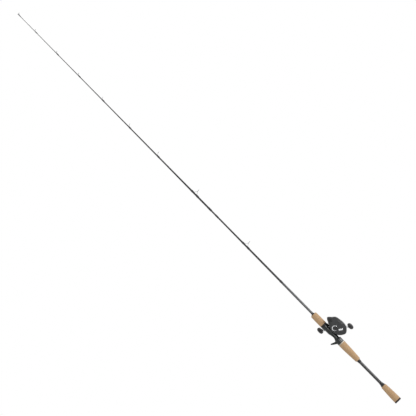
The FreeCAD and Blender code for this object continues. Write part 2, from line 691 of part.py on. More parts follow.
def palm_spool_bearing():
    return ball_bearing(SPOOL, SPOOL_SHAFT_R + 0.03, BEARING_OUTER, 14.2, 17.0)


def crank_side_bearings():
    spool_end = ball_bearing(SPOOL, SPOOL_SHAFT_R + 0.03, BEARING_OUTER, -31.0, -28.6)
    crank_end = ball_bearing(CRANK, CRANK_SHAFT_R + 0.03, 5.5, -PLATE_OUT, -PLATE_IN)
    return Part.makeCompound([spool_end, crank_end])


PINION_REAR = -26.0
SPOOL_DIRECTION = math.radians(SPOOL_BEARING_ANGLE)


def pinion_gear():
    """Pinion that slides on the spool shaft; its slotted end drives the shaft's pin."""
    phase = meshing_phase(DRIVE_TEETH, SPOOL_DIRECTION, SPOOL_DIRECTION, PINION_TEETH)
    teeth = gear_prism(SPOOL, PINION_TEETH, phase, PINION_REAR, -17.0)
    neck = disc(SPOOL, 3.15, -11.6, -14.9)
    groove = disc(SPOOL, 2.4, -14.9, -16.2)
    collar = disc(SPOOL, 3.15, -16.2, -17.0)
    body = fused([teeth, neck, groove, collar])
    x, z = SPOOL
    slot = block(x - 5, x + 5, -13.3, -11.0, z - 0.75, z + 0.75)
    return body.cut(slot).cut(disc(SPOOL, SPOOL_SHAFT_R + 0.06, -30, -10))


def clutch_yoke():
    """Fork in the pinion's groove, carried on two posts."""
    x, z = SPOOL
    bar = block(YOKE_POSTS[0][0], YOKE_POSTS[1][0], -16.05, -15.05, 38.0, 44.4)
    ears = [disc(post, 3.2, -16.05, -15.05) for post in YOKE_POSTS]
    body = fused([bar] + ears)
    throat = block(x - 2.55, x + 2.55, -17, -14, 30, z).fuse(disc((x, z), 2.55, -17, -14))
    for post in YOKE_POSTS:
        body = body.cut(disc(post, 1.06, -20, -10))
    return body.cut(throat)


def frame_pins():
    """Pins pressed into the crank-side plate: two yoke posts and the idler's headed axle."""
    posts = [disc(post, 1.0, -12.0, -24.4) for post in YOKE_POSTS]
    axle = disc(IDLER, 1.5, -12.0, -17.6).fuse(disc(IDLER, 2.4, -17.6, -18.3))
    return Part.makeCompound(posts + [axle])


def coil_spring(centre, coil_r, wire_r, y0, y1, turns):
    """Helical spring along Y with its two ends left open."""
    length = abs(y1 - y0) - 2 * wire_r
    helix = Part.makeHelix(length / turns, length, coil_r)
    start = V(coil_r, 0, 0)
    circle = Part.Wire(Part.Circle(start, Y_AXIS, wire_r).toShape())
    wire = Part.Wire(helix).makePipeShell([circle], True, True)
    wire.rotate(V(0, 0, 0), X_AXIS, 90)
    wire.translate(V(centre[0], max(y0, y1) - wire_r, centre[1]))
    return wire


def clutch_springs():
    return Part.makeCompound([coil_spring(post, 1.65, 0.25, -16.1, -22.2, 5) for post in YOKE_POSTS])


def drive_gear():
    teeth = gear_prism(CRANK, DRIVE_TEETH, SPOOL_DIRECTION, -23.0, -19.0)
    recess = disc(CRANK, 13.2, -23.5, -21.0)
    return teeth.cut(recess).cut(disc(CRANK, CRANK_SHAFT_R + GLUE, -30, -10))


def drag_washers():
    """Friction and steel washers stacked in the drive gear's recess, and the key washer."""
    layers = [(-21.7, -21.05), (-22.4, -21.75), (-23.1, -22.45)]
    stack = [ring(CRANK, CRANK_SHAFT_R + GLUE, 12.9, y0, y1) for y0, y1 in layers]
    stack.append(ring(CRANK, CRANK_SHAFT_R + GLUE, 7.6, -24.6, -23.15))
    return Part.makeCompound(stack)


def shaft_cog():
    """Level-wind cog and the ratchet wheel beside it, in one piece on the main shaft."""
    cog = gear_prism(CRANK, SHAFT_COG_TEETH, math.radians(IDLER_ANGLE), -17.4, -15.0)
    points = []
    for k in range(8):
        a = math.radians(45 * k)
        points += [(8.4, a), (6.6, a + math.radians(8))]
    wheel = face_from([V(CRANK[0] + r * math.cos(a), -18.7, CRANK[1] + r * math.sin(a))
                       for r, a in points]).extrude(V(0, 1.4, 0))
    return fused([cog, wheel]).cut(disc(CRANK, CRANK_SHAFT_R + GLUE, -30, -10))


def idler_phase():
    a = math.radians(IDLER_ANGLE)
    return meshing_phase(SHAFT_COG_TEETH, a, a, IDLER_TEETH)


def idler_gear():
    teeth = gear_prism(IDLER, IDLER_TEETH, idler_phase(), -17.4, -15.0)
    body = teeth.cut(disc(IDLER, 1.5 + FIT, -20, -10))
    for k in range(5):
        body = body.cut(disc(polar(IDLER, 6.2, 72 * k), 1.7, -20, -10))
    return body


def worm_shaft():
    """Level-wind shaft with its cog; grooves are left plain."""
    body = fused([disc(WORM, 3.0, -11.0, 11.0), disc(WORM, 1.8, -15.0, 13.6),
                  gear_prism(WORM, WORM_TEETH,
                             meshing_phase(IDLER_TEETH, idler_phase(), math.radians(WORM_ANGLE),
                                           WORM_TEETH), -17.4, -15.0)])
    return body


def guide_rod():
    return disc(GUIDE_ROD, 1.1, -13.7, 13.7)


PAWL_R = 1.3


def line_guide():
    """Carriage on the worm shaft and guide rod, with an eye for the line between two prongs."""
    half = 3.0
    sleeve = disc(WORM, 4.3, -half, half)
    pawl_boss = Part.makeCylinder(2.0, 2.2, V(WORM[0], 0, 22.6), V(0, 0, 1))
    upright = block(LINE_EYE_START - 1, LINE_EYE_START + 4.6, -half, half, 29.0, 41.0)
    neck = block(378.0, 386.0, -half, half, 38.8, 41.0).fuse(
        block(378.0, 381.8, -half, half, 40.0, 43.0))
    ear = disc(GUIDE_ROD, 2.3, -half, half)
    eye = Part.makeCylinder(3.9, LINE_EYE_LENGTH, V(LINE_EYE_START, 0, LINE_EYE_Z), X_AXIS)
    body = fused([sleeve, pawl_boss, upright, neck, ear, eye])
    body = body.cut(disc(WORM, 3.0 + 0.07, -10, 10)).cut(disc(GUIDE_ROD, 1.1 + 0.07, -10, 10))
    body = body.cut(Part.makeCylinder(3.4, 14, V(380, 0, LINE_EYE_Z), X_AXIS))
    body = body.cut(block(376.0, 384.4, -2.0, 2.0, 37.0, 41.9))
    return body.cut(Part.makeCylinder(PAWL_R + GLUE, 8, V(WORM[0], 0, 18.0), V(0, 0, 1)))


def line_guide_ring():
    start = LINE_EYE_START + 0.1
    body = Part.makeCylinder(3.38, 5.0, V(start, 0, LINE_EYE_Z), X_AXIS)
    body = body.cut(Part.makeCylinder(2.3, 6.0, V(start - 0.5, 0, LINE_EYE_Z), X_AXIS))
    return rounded(body, 0.45, lambda e: e.Curve.TypeId == "Part::GeomCircle")


def level_wind_pawl():
    """Pawl in the carriage; its nose stops short of the worm shaft."""
    return Part.makeCylinder(PAWL_R, 2.1, V(WORM[0], 0, 22.7), V(0, 0, 1))


def thumb_bar():
    """Free-spool bar behind the spool, with a thumb hollow on top."""
    body = block(322.0, 338.0, -10.8, 10.8, 47.0, 52.6)
    body = rounded(body, 1.6, lambda e: e.CenterOfMass.z > 52.5 or e.BoundBox.ZLength > 5)
    hollow = Part.makeCylinder(30.0, 30, V(331.5, -15, 81.2), Y_AXIS)
    return body.cut(hollow)


# ---- reel: crank, drag and controls ------------------------------------------------
def main_shaft():
    shaft = disc(CRANK, CRANK_SHAFT_R, PLATE_OUT - 25.4, -49.6)
    shoulder = ring(CRANK, CRANK_SHAFT_R - 0.5, 3.9, -14.9, -13.9)
    return fused([shaft, shoulder])


def anti_reverse_bearing():
    """One-way roller clutch: inner sleeve on the shaft and outer race in the cover."""
    return fused([ring(CRANK, CRANK_SHAFT_R + 0.06, 4.4, -31.6, -25.2),
                  ring(CRANK, 4.2, 7.8, -31.4, -25.4), ring(CRANK, 7.0, 8.0, -31.6, -25.2)])


def drag_star():
    """Five-armed star wheel on the main shaft."""
    hub = disc(CRANK, 6.2, -34.0, -39.6)
    pieces = [hub]
    for k in range(5):
        a = 90 + 72 * k
        hip = polar(CRANK, 5.0, a)
        elbow = polar(CRANK, 15.0, a + 4)
        toe = polar(CRANK, 22.0, a + 16)
        for start, end, r in ((hip, elbow, 2.2), (elbow, toe, 2.4)):
            pieces.append(rod_between(V(start[0], -38.0, start[1]), V(end[0], -38.4, end[1]), r * 0.8))
        pieces.append(Part.makeSphere(2.6, V(toe[0], -38.4, toe[1])))
        pieces.append(Part.makeSphere(2.0, V(elbow[0], -38.2, elbow[1])))
    return fused(pieces).cut(disc(CRANK, CRANK_SHAFT_R + 0.06, -60, -10))


def arm_half(angle):
    """Half of the crank arm: a bar that narrows towards its knob, with a slot."""
    a = math.radians(angle)
    across = (-math.sin(a), math.cos(a))
    end = polar(CRANK, ARM_REACH, angle)

    def corner(distance, offset):
        p = polar(CRANK, distance, angle)
        return V(p[0] + across[0] * offset, -ARM_FACE - ARM_THICK, p[1] + across[1] * offset)

    bar = face_from([corner(0, 6.5), corner(20, 5.0), corner(ARM_REACH, 3.8),
                     corner(ARM_REACH, -3.8), corner(20, -5.0), corner(0, -6.5)])
    slot = face_from([corner(16, 2.2), corner(40, 1.6), corner(40, -1.6), corner(16, -2.2)])
    bar = bar.extrude(V(0, ARM_THICK, 0)).fuse(disc(end, 5.2, -ARM_FACE - ARM_THICK, -ARM_FACE))
    return bar.cut(slot.extrude(V(0, ARM_THICK, 0)))


def handle_arm():
    hub = disc(CRANK, 8.0, -ARM_FACE - ARM_THICK, -ARM_FACE)
    body = fused([arm_half(ARM_ANGLE), arm_half(ARM_ANGLE + 180), hub])
    for knob in (FRONT_KNOB, REAR_KNOB):
        body = body.cut(disc(knob, 1.6 + GLUE, -60, -40))
    spacer = ring(CRANK, CRANK_SHAFT_R, 5.0, -ARM_FACE, -40.2)
    return fused([body, spacer]).cut(disc(CRANK, CRANK_SHAFT_R + GLUE, -60, -30))


def handle_nut():
    """Hexagonal nut with a domed retainer over the shaft's end."""
    points = [polar(CRANK, 5.6, 60 * k) for k in range(6)]
    y = -ARM_FACE - ARM_THICK - GLUE
    nut = face_from([V(x, y - 3.6, z) for x, z in points]).extrude(V(0, 3.6, 0))
    dome = Part.makeSphere(6.0, V(CRANK[0], y - 1.2, CRANK[1])).common(
        disc(CRANK, 4.6, y - 9.0, y - 3.0))
    body = fused([nut, dome])
    return body.cut(disc(CRANK, CRANK_SHAFT_R + GLUE, -49.7, -40))


KNOB_START = -48.0
KNOB_SECTIONS = [(KNOB_START, 6.0, 4.6), (-52.0, 7.0, 5.0), (-58.0, 9.6, 6.2), (-65.0, 12.6, 7.8),
                 (-70.0, 12.9, 8.0), (-72.6, 11.2, 6.6)]
KNOB_RECESS_R = 3.4


def knob(centre):
    """Paddle knob that turns on its shaft, wider along X towards its outer end."""
    body = Part.makeLoft([oval(centre, y, a, b) for y, a, b in KNOB_SECTIONS], True, False)
    body = body.cut(disc(centre, KNOB_SHAFT_R + 0.06, -80, -40))
    return body.cut(disc(centre, KNOB_RECESS_R, -80, -69.4))


def knob_shafts():
    pieces = []
    for centre in (FRONT_KNOB, REAR_KNOB):
        pieces.append(fused([disc(centre, 1.6, -ARM_FACE + 0.6, -ARM_FACE - ARM_THICK - 0.5),
                             disc(centre, 2.6, -ARM_FACE + 1.0, -ARM_FACE + GLUE),
                             disc(centre, 3.4, -ARM_FACE - ARM_THICK - GLUE, -47.7),
                             disc(centre, KNOB_SHAFT_R, -47.0, -69.6),
                             disc(centre, 2.9, -69.5, -70.6)]))
    return Part.makeCompound(pieces)


def tension_knob():
    """Cast-control cap over the end of the spool shaft."""
    body = disc(SPOOL, 6.9, -35.2, -31.7)
    body = rounded(body, 0.9, lambda e: e.CenterOfMass.y < -35)
    for k in range(18):
        a = math.radians(20 * k)
        body = body.cut(disc((SPOOL[0] + 7.2 * math.cos(a), SPOOL[1] + 7.2 * math.sin(a)), 0.6, -36, -31))
    return body


def brake_dial():
    body = fused([disc(DIAL, DIAL_R, PALM_COVER_OUT - 3.4, PALM_COVER_OUT + 1.4),
                  disc(DIAL, 2.0, 17.2, PALM_COVER_OUT - 3.0)])
    body = rounded(body, 0.6, lambda e: e.CenterOfMass.y > PALM_COVER_OUT + 1.3)
    body = body.cut(disc(DIAL, 3.2, PALM_COVER_OUT + 0.6, 40))
    for k in range(24):
        notch = polar(DIAL, DIAL_R + 0.25, 15 * k)
        body = body.cut(disc(notch, 0.5, PALM_COVER_OUT + 0.4, 40))
    return body


def dial_bezel():
    """Crescent bezel round the brake dial."""
    body = disc(DIAL_SEAT, BEZEL_R, PALM_COVER_OUT - 1.18, PALM_COVER_OUT + 0.9)
    body = rounded(body, 0.5, lambda e: e.CenterOfMass.y > PALM_COVER_OUT + 0.8)
    return body.cut(disc(DIAL, DIAL_R + 0.15, 20, 40))


def side_cover_latch():
    """Quick-release lever that locks the palm-side cover."""
    y0, y1 = PALM_COVER_OUT + 0.05, PALM_COVER_OUT + 2.4
    end = (LATCH_PIVOT[0] - 5.4, LATCH_PIVOT[1] + 7.7)
    a = math.atan2(end[1] - LATCH_PIVOT[1], end[0] - LATCH_PIVOT[0])
    across = (-math.sin(a) * 2.2, math.cos(a) * 2.2)
    bar = face_from([V(LATCH_PIVOT[0] + across[0], y0, LATCH_PIVOT[1] + across[1]),
                     V(end[0] + across[0], y0, end[1] + across[1]),
                     V(end[0] - across[0], y0, end[1] - across[1]),
                     V(LATCH_PIVOT[0] - across[0], y0, LATCH_PIVOT[1] - across[1])])
    body = fused([bar.extrude(V(0, y1 - y0, 0)), disc(LATCH_PIVOT, 2.2, y0, y1), disc(end, 2.2, y0, y1)])
    body = rounded(body, 0.7, lambda e: e.CenterOfMass.y > y1 - 0.01)
    return fused([body, disc(LATCH_PIVOT, 1.5, PALM_COVER_OUT - 2.3, y0 + 0.5)])


def brake_magnets():
    """Carrier ring with its magnets, facing the spool's flange."""
    carrier = ring(SPOOL, BEARING_SEAT + 0.3, 13.4, 14.0, 15.4)
    magnets = [disc(polar(SPOOL, 10.2, 60 * k + 30), 1.9, 11.9, 14.0) for k in range(6)]
    return fused([carrier] + magnets)


# ---- nodes -------------------------------------------------------------------------
def build():
    nodes = {
        "butt_blank": butt_blank(),
        "butt_cap": butt_cap(),
        "butt_grip": butt_grip(),
        "butt_grip_check": butt_grip_check(),
        "rear_grip_check": rear_grip_check(),
        "rear_grip": rear_grip(),
        "rear_trim_ring": rear_trim_ring(),
        "reel_seat": reel_seat(),
        "blank_sleeve": blank_sleeve(),
        "butt_thread_wraps": wraps(False),
        "butt_guide_ring": guide_rings(False),
        "seat_hood": seat_hood(),
        "seat_lock_nut": seat_lock_nut(),
        "fore_grip": fore_grip(),
        "fore_grip_check": fore_grip_check(),
        "tip_blank": tip_blank(),
        "tip_thread_wraps": wraps(True),
        "tip_guide_rings": guide_rings(True),
        "tip_top": tip_top(),
        "reel_frame": reel_frame(),
        "palm_side_cover": palm_side_cover(),
        "handle_side_cover": handle_side_cover(),
        "cover_screws": cover_screws(),
        "nose_cover": nose_cover(),
        "spool": spool(),
        "spool_shaft": spool_shaft(),
        "palm_spool_bearing": palm_spool_bearing(),
        "crank_side_bearings": crank_side_bearings(),
        "pinion_gear": pinion_gear(),
        "clutch_yoke": clutch_yoke(),
        "frame_pins": frame_pins(),
        "clutch_springs": clutch_springs(),
        "drive_gear": drive_gear(),
        "drag_washers": drag_washers(),
        "ratchet_cog": shaft_cog(),
        "idler_gear": idler_gear(),
        "worm_shaft": worm_shaft(),
        "guide_rod": guide_rod(),
        "line_guide": line_guide(),
        "line_guide_ring": line_guide_ring(),
        "level_wind_pawl": level_wind_pawl(),
        "thumb_bar": thumb_bar(),
        "main_shaft": main_shaft(),
        "anti_reverse_bearing": anti_reverse_bearing(),
        "drag_star": drag_star(),
        "handle_arm": handle_arm(),
        "handle_nut": handle_nut(),
        "knob_shafts": knob_shafts(),
        "front_knob": knob(FRONT_KNOB),
        "rear_knob": knob(REAR_KNOB),
        "tension_knob": tension_knob(),
        "brake_dial": brake_dial(),
        "dial_bezel": dial_bezel(),
        "side_cover_latch": side_cover_latch(),
        "brake_magnets": brake_magnets(),
    }
    frames = {}
    for name, x, z, outer, feet in GUIDES:
        frames.setdefault(name, []).append(guide_frame(x, z, outer, feet))
    nodes.update({name: Part.makeCompound(shapes) for name, shapes in frames.items()})
    return nodes


os.makedirs("parts", exist_ok=True)
for node, shape in build().items():
    if not shape.isValid():
        print("not valid:", node)
    shape.exportStep("parts/%s.step" % node)
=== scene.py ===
import json
import math

import bmesh
import bpy
import numpy as np
from mathutils import Matrix, Vector, noise


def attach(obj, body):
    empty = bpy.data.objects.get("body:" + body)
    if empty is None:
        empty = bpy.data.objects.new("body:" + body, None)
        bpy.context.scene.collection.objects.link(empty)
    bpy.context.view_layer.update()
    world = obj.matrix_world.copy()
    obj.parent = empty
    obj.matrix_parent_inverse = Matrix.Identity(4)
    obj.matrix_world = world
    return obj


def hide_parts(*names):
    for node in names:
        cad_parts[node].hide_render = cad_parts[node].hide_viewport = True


# The looks of a casting rod and its low-profile reel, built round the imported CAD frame.
# Lengths are in millimetres until a mesh is made, and in metres after that. x runs along the
# rod from the butt, z from the rod's axis towards the reel, and y across, towards the camera.

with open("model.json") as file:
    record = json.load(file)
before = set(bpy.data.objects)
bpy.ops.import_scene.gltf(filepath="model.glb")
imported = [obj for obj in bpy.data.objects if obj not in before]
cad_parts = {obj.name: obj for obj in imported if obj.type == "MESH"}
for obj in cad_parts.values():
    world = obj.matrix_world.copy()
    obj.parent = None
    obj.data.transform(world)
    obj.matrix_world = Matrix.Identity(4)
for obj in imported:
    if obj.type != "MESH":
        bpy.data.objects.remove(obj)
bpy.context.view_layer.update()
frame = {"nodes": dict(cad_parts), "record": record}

MM = 0.001
TAU = 2 * math.pi
BODY_OF = {n: b for b, ns in frame["record"]["behaviour"]["bodies"].items() for n in ns}
SLOT_OF = {row["node"]: row["material_slot"] for row in frame["record"]["subparts"]}

# ---- stations shared with the CAD part
# Blanks and their bores: (x, radius).
BUTT_BLANK = [(4.0, 5.65), (198.5, 5.65), (450, 4.5), (700, 3.7), (880, 3.05),
              (971, 2.95), (1046, 2.85)]
BUTT_BORE = [(4.0, 4.4), (450, 3.4), (880, 2.1), (1046, 1.9)]
TIP_BLANK = [(971, 3.5), (1050, 3.45), (1246, 2.6), (1566, 1.75), (1977, 0.9)]
TIP_BORE = [(971, 2.99), (1048, 2.887), (1052, 2.3), (1246, 1.7), (1566, 1.0), (1900, 0.5)]
FERRULE_MOUTH = 971
BARREL_R = 13.5  # outside of the seat's barrel
CORK_RING = 12.7  # length of one ring of cork
# Guides: CAD node, x, z of the ring's centre, its holder's radius, number of feet.
GUIDES = [("guide_frame_8", 794, 17.2, 6.2, 2), ("guide_frame_7", 1058, 16.6, 5.9, 2),
          ("guide_frame_6", 1259, 11.2, 3.7, 1), ("guide_frame_5", 1406, 8.8, 3.1, 1),
          ("tip_guide_frames", 1544, 6.5, 2.7, 1), ("tip_guide_frames", 1668, 5.9, 2.6, 1),
          ("tip_guide_frames", 1781, 5.6, 2.5, 1), ("tip_guide_frames", 1892, 5.0, 2.4, 1)]
GUIDE_LEAN = math.radians(9)
FOOT_LENGTH = 9.0
# Centres on the reel and at the tip-top: (x, z).
TIP_RING = (1976.6, 4.5)
TIP_LEAN = math.radians(38)
CRANK = (349.5, 21.5)
SPOOL = (357.51, 40.099)
WORM = (383.89, 28.007)
DIAL_SEAT = (352.6, 20.5)
DIAL = (351.8, 21.1)
BEZEL = (352.95, 20.15)
BEZEL_R = 9.9
LINE_EYE = (388.2, 36.2)
ARM_REACH = 55.5
ARM_ANGLE = math.radians(126)
# Side outline of the reel's covers: (x, z).
OUTLINE = np.array([(399.8, 30.5), (395.6, 36.2), (387.6, 43.8), (381.8, 50.9), (376.0, 54.2),
                    (362, 57.2), (342, 58.7), (328, 55.2), (317, 47), (310.6, 36),
                    (314.2, 25.4), (324, 13.6), (338, 7.2), (354, 5.7), (370, 9.8),
                    (386, 18.6), (397.4, 25.2)])
OUTLINE_CENTRE = np.array((352.0, 32.0))
KNOBS = {"front_knob": ARM_ANGLE + math.pi, "rear_knob": ARM_ANGLE}  # direction from the crank


# ---- profiles and paths
def smoothstep(low, high, value):
    t = np.clip((value - low) / (high - low), 0, 1)
    return t * t * (3 - 2 * t)


def at_stations(stations, x):
    xs, rs = zip(*stations)
    return np.interp(x, xs, rs)


def around(count):
    """Angles of points evenly round a circle."""
    return np.arange(count) / count * TAU


def joined(x, y, z):
    """Points from coordinates, which may be arrays or single numbers."""
    return np.stack(np.broadcast_arrays(x, y, z), -1)


def superellipse(angle, power):
    """Points of a rounded square (power over 2) or an ellipse (2) of radius 1."""
    return (np.sign(k) * np.abs(k) ** (2 / power) for k in (np.cos(angle), np.sin(angle)))


def corners(start, end, inner, outer):
    """Profile of a plain turned ring."""
    return [(start, inner), (start, outer), (end, outer), (end, inner)]


def softened(points, radius, steps=4, closed=True):
    """The polyline with every corner rounded, for profiles of turned pieces."""
    points = [np.array(p, float) for p in points]
    out = []
    for i, p in enumerate(points):
        if not closed and i in (0, len(points) - 1):
            out.append(p)
            continue
        before, after = points[i - 1] - p, points[(i + 1) % len(points)] - p
        reach = min(radius, 0.45 * np.linalg.norm(before), 0.45 * np.linalg.norm(after))
        a = p + before / np.linalg.norm(before) * reach
        b = p + after / np.linalg.norm(after) * reach
        for t in np.linspace(0, 1, steps + 1):
            out.append((1 - t) ** 2 * a + 2 * t * (1 - t) * p + t * t * b)
    return np.array(out)


def divided(points, step):
    """The open polyline with points added so that none are further apart than step."""
    points = [np.array(p, float) for p in points]
    out = []
    for a, b in zip(points, points[1:]):
        count = max(1, math.ceil(np.linalg.norm(b - a) / step))
        out += [(a + (b - a) * k / count).tolist() for k in range(count)]
    return out + [points[-1].tolist()]


def flowing(points, count):
    """A smooth curve of count points through the given ones (Catmull-Rom)."""
    p = np.array(points, float)
    p = np.vstack([2 * p[0] - p[1], p, 2 * p[-1] - p[-2]])
    out = []
    for s in np.linspace(0, len(p) - 3, count):
        i = min(int(s), len(p) - 4)
        t = s - i
        a, b, c, d = p[i:i + 4]
        out.append(0.5 * (2 * b + (c - a) * t + (2 * a - 5 * b + 4 * c - d) * t ** 2
                          + (3 * b - a - 3 * c + d) * t ** 3))
    return np.array(out)


def closed_spline(points, per_span=24):
    """Periodic cubic spline through the points, on chord lengths."""
    n = len(points)
    h = np.linalg.norm(np.roll(points, -1, 0) - points, axis=1)
    i, before = np.arange(n), np.roll(h, 1)
    system = np.zeros((n, n))
    system[i, i - 1], system[i, i], system[i, (i + 1) % n] = before, 2 * (before + h), h
    slope = (np.roll(points, -1, 0) - points) / h[:, None]
    m = np.linalg.solve(system, 6 * (slope - np.roll(slope, 1, 0)))
    out = []
    for i in range(n):
        j = (i + 1) % n
        for t in np.arange(per_span) / per_span * h[i]:
            u = h[i] - t
            bend = m[i] * u ** 3 / (6 * h[i]) + m[j] * t ** 3 / (6 * h[i])
            out.append(bend + (points[i] / h[i] - m[i] * h[i] / 6) * u
                       + (points[j] / h[i] - m[j] * h[i] / 6) * t)
    return np.array(out)


OUTLINE_CURVE = closed_spline(OUTLINE)


def outline_radius(angle, scale, centre):
    """Distance from a centre to the scaled side outline, in the directions given."""
    p = OUTLINE_CENTRE + (OUTLINE_CURVE - OUTLINE_CENTRE) * scale - np.array(centre)
    a, r = np.arctan2(p[:, 1], p[:, 0]), np.hypot(p[:, 0], p[:, 1])
    order = np.argsort(a)
    return np.interp(angle, a[order], r[order], period=TAU)


def circle_radius(angle, circle, radius, centre):
    """Distance from a centre to an off-centre circle, in the directions given."""
    dx, dz = circle[0] - centre[0], circle[1] - centre[1]
    along = dx * np.cos(angle) + dz * np.sin(angle)
    return along + np.sqrt(radius ** 2 - dx ** 2 - dz ** 2 + along ** 2)


# ---- meshes
class Shell:
    """Grids of points, in millimetres, that become one mesh."""

    def __init__(self):
        self.points, self.faces, self.count = [], [], 0

    def grid(self, points, wrap_rows=False, caps=False):
        """Rows of points round the piece; each row closes on itself."""
        rows, columns = points.shape[:2]
        index = self.count + np.arange(rows * columns).reshape(rows, columns)
        self.points.append(points.reshape(-1, 3))
        self.count += rows * columns
        if caps:
            self.faces += [index[0].tolist()[::-1], index[-1].tolist()]
        if wrap_rows:
            index = np.vstack([index, index[:1]])
        index = np.hstack([index, index[:, :1]])
        quads = (index[:-1, :-1], index[:-1, 1:], index[1:, 1:], index[1:, :-1])
        self.faces += np.stack(quads, -1).reshape(-1, 4).tolist()

    def turned(self, profile, axes, segments=96, shape=None, closed=True):
        """Revolves (along, radius) points about an axis; shape changes the radii."""
        origin, along, u, v = (np.array(a, float) for a in axes)
        profile = np.array(profile, float)
        angle = around(segments)
        a = np.repeat(profile[:, :1], segments, 1)
        r = np.repeat(profile[:, 1:], segments, 1)
        if shape:
            r = shape(a, np.broadcast_to(angle, a.shape), r)
        points = (origin + a[..., None] * along + (r * np.cos(angle))[..., None] * u
                  + (r * np.sin(angle))[..., None] * v)
        self.grid(points, wrap_rows=closed)

    def swept(self, path, half_width, half_height, side, segments, power=2.0):
        """Superellipse sections along a path; side is the direction of half_width."""
        path, side = np.array(path, float), np.array(side, float)
        n = len(path)
        width = np.broadcast_to(np.array(half_width, float), (n,))
        height = np.broadcast_to(np.array(half_height, float), (n,))
        tangent = np.gradient(path, axis=0)
        tangent /= np.linalg.norm(tangent, axis=1)[:, None]
        across = side - (tangent @ side)[:, None] * tangent
        across /= np.linalg.norm(across, axis=1)[:, None]
        up = np.cross(tangent, across)
        c, s = superellipse(around(segments), power)
        points = (path[:, None] + across[:, None] * (width[:, None] * c)[..., None]
                  + up[:, None] * (height[:, None] * s)[..., None])
        self.grid(points, caps=True)


ROD_AXES = ((0, 0, 0), (1, 0, 0), (0, 1, 0), (0, 0, 1))


def across_reel(centre):
    """Axes of a piece turned about a shaft of the reel."""
    return ((centre[0], 0, centre[1]), (0, 1, 0), (1, 0, 0), (0, 0, 1))


def leaning(x, z, lean):
    """Axes of a ring round the rod's line, with its top leaning towards the tip."""
    c, s = math.cos(lean), math.sin(lean)
    return ((x, 0, z), (c, 0, -s), (0, 1, 0), (s, 0, c))


def finished(obj, nodes, body=None, slot=None, crease=40):
    """Puts a new piece in place of its CAD nodes, or on a named body with a named finish."""
    mesh = obj.data
    mesh.shade_smooth()
    mesh.set_sharp_from_angle(angle=math.radians(crease))
    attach(obj, body or BODY_OF[nodes[0]])
    slot = slot or SLOT_OF[nodes[0]]
    mesh.materials.clear()
    mesh.materials.append(MATERIALS[slot])
    if nodes:
        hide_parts(*nodes)


def mesh_of(name, shell):
    mesh = bpy.data.meshes.new(name)
    mesh.from_pydata((np.vstack(shell.points) * MM).tolist(), [], shell.faces)
    bm = bmesh.new()
    bm.from_mesh(mesh)
    bmesh.ops.remove_doubles(bm, verts=bm.verts, dist=1e-6)
    bmesh.ops.dissolve_degenerate(bm, dist=1e-7, edges=bm.edges)
    bmesh.ops.recalc_face_normals(bm, faces=bm.faces)
    bm.to_mesh(mesh)
    bm.free()
    obj = bpy.data.objects.new(name, mesh)
    bpy.context.scene.collection.objects.link(obj)
    return obj


def piece(name, shell, nodes, **options):
    finished(mesh_of(name, shell), nodes, **options)


def baked(obj):
    """The object with its modifiers applied."""
    evaluated = obj.evaluated_get(bpy.context.evaluated_depsgraph_get())
    mesh = bpy.data.meshes.new_from_object(evaluated)
    obj.modifiers.clear()
    obj.data = mesh
    return obj


def remeshed(obj, voxel, rounds):
    """One smooth skin over everything in the object."""
    remesh = obj.modifiers.new("skin", "REMESH")
    remesh.mode, remesh.voxel_size = "VOXEL", voxel * MM
    smooth = obj.modifiers.new("smooth", "SMOOTH")
    smooth.factor, smooth.iterations = 0.5, rounds
    return baked(obj)


def cad_copy(node):
    """A new piece with the shape of a CAD node, its vertices joined across faces."""
    obj = bpy.data.objects.new("fine_" + node, frame["nodes"][node].data.copy())
    bpy.context.scene.collection.objects.link(obj)
    bm = bmesh.new()
    bm.from_mesh(obj.data)
    bmesh.ops.remove_doubles(bm, verts=bm.verts, dist=2e-6)
    bm.to_mesh(obj.data)
    bm.free()
    return obj


def edged(node, width):
    """A CAD node's shape with its sharp edges broken."""
    obj = cad_copy(node)
    bevel = obj.modifiers.new("edges", "BEVEL")
    bevel.width, bevel.segments = width * MM, 3
    bevel.limit_method, bevel.angle_limit = "ANGLE", math.radians(38)
    baked(obj)
    finished(obj, [node])
    obj.modifiers.new("flat", "WEIGHTED_NORMAL").keep_sharp = True
    baked(obj)


# ---- materials, by name
MATERIALS = {}


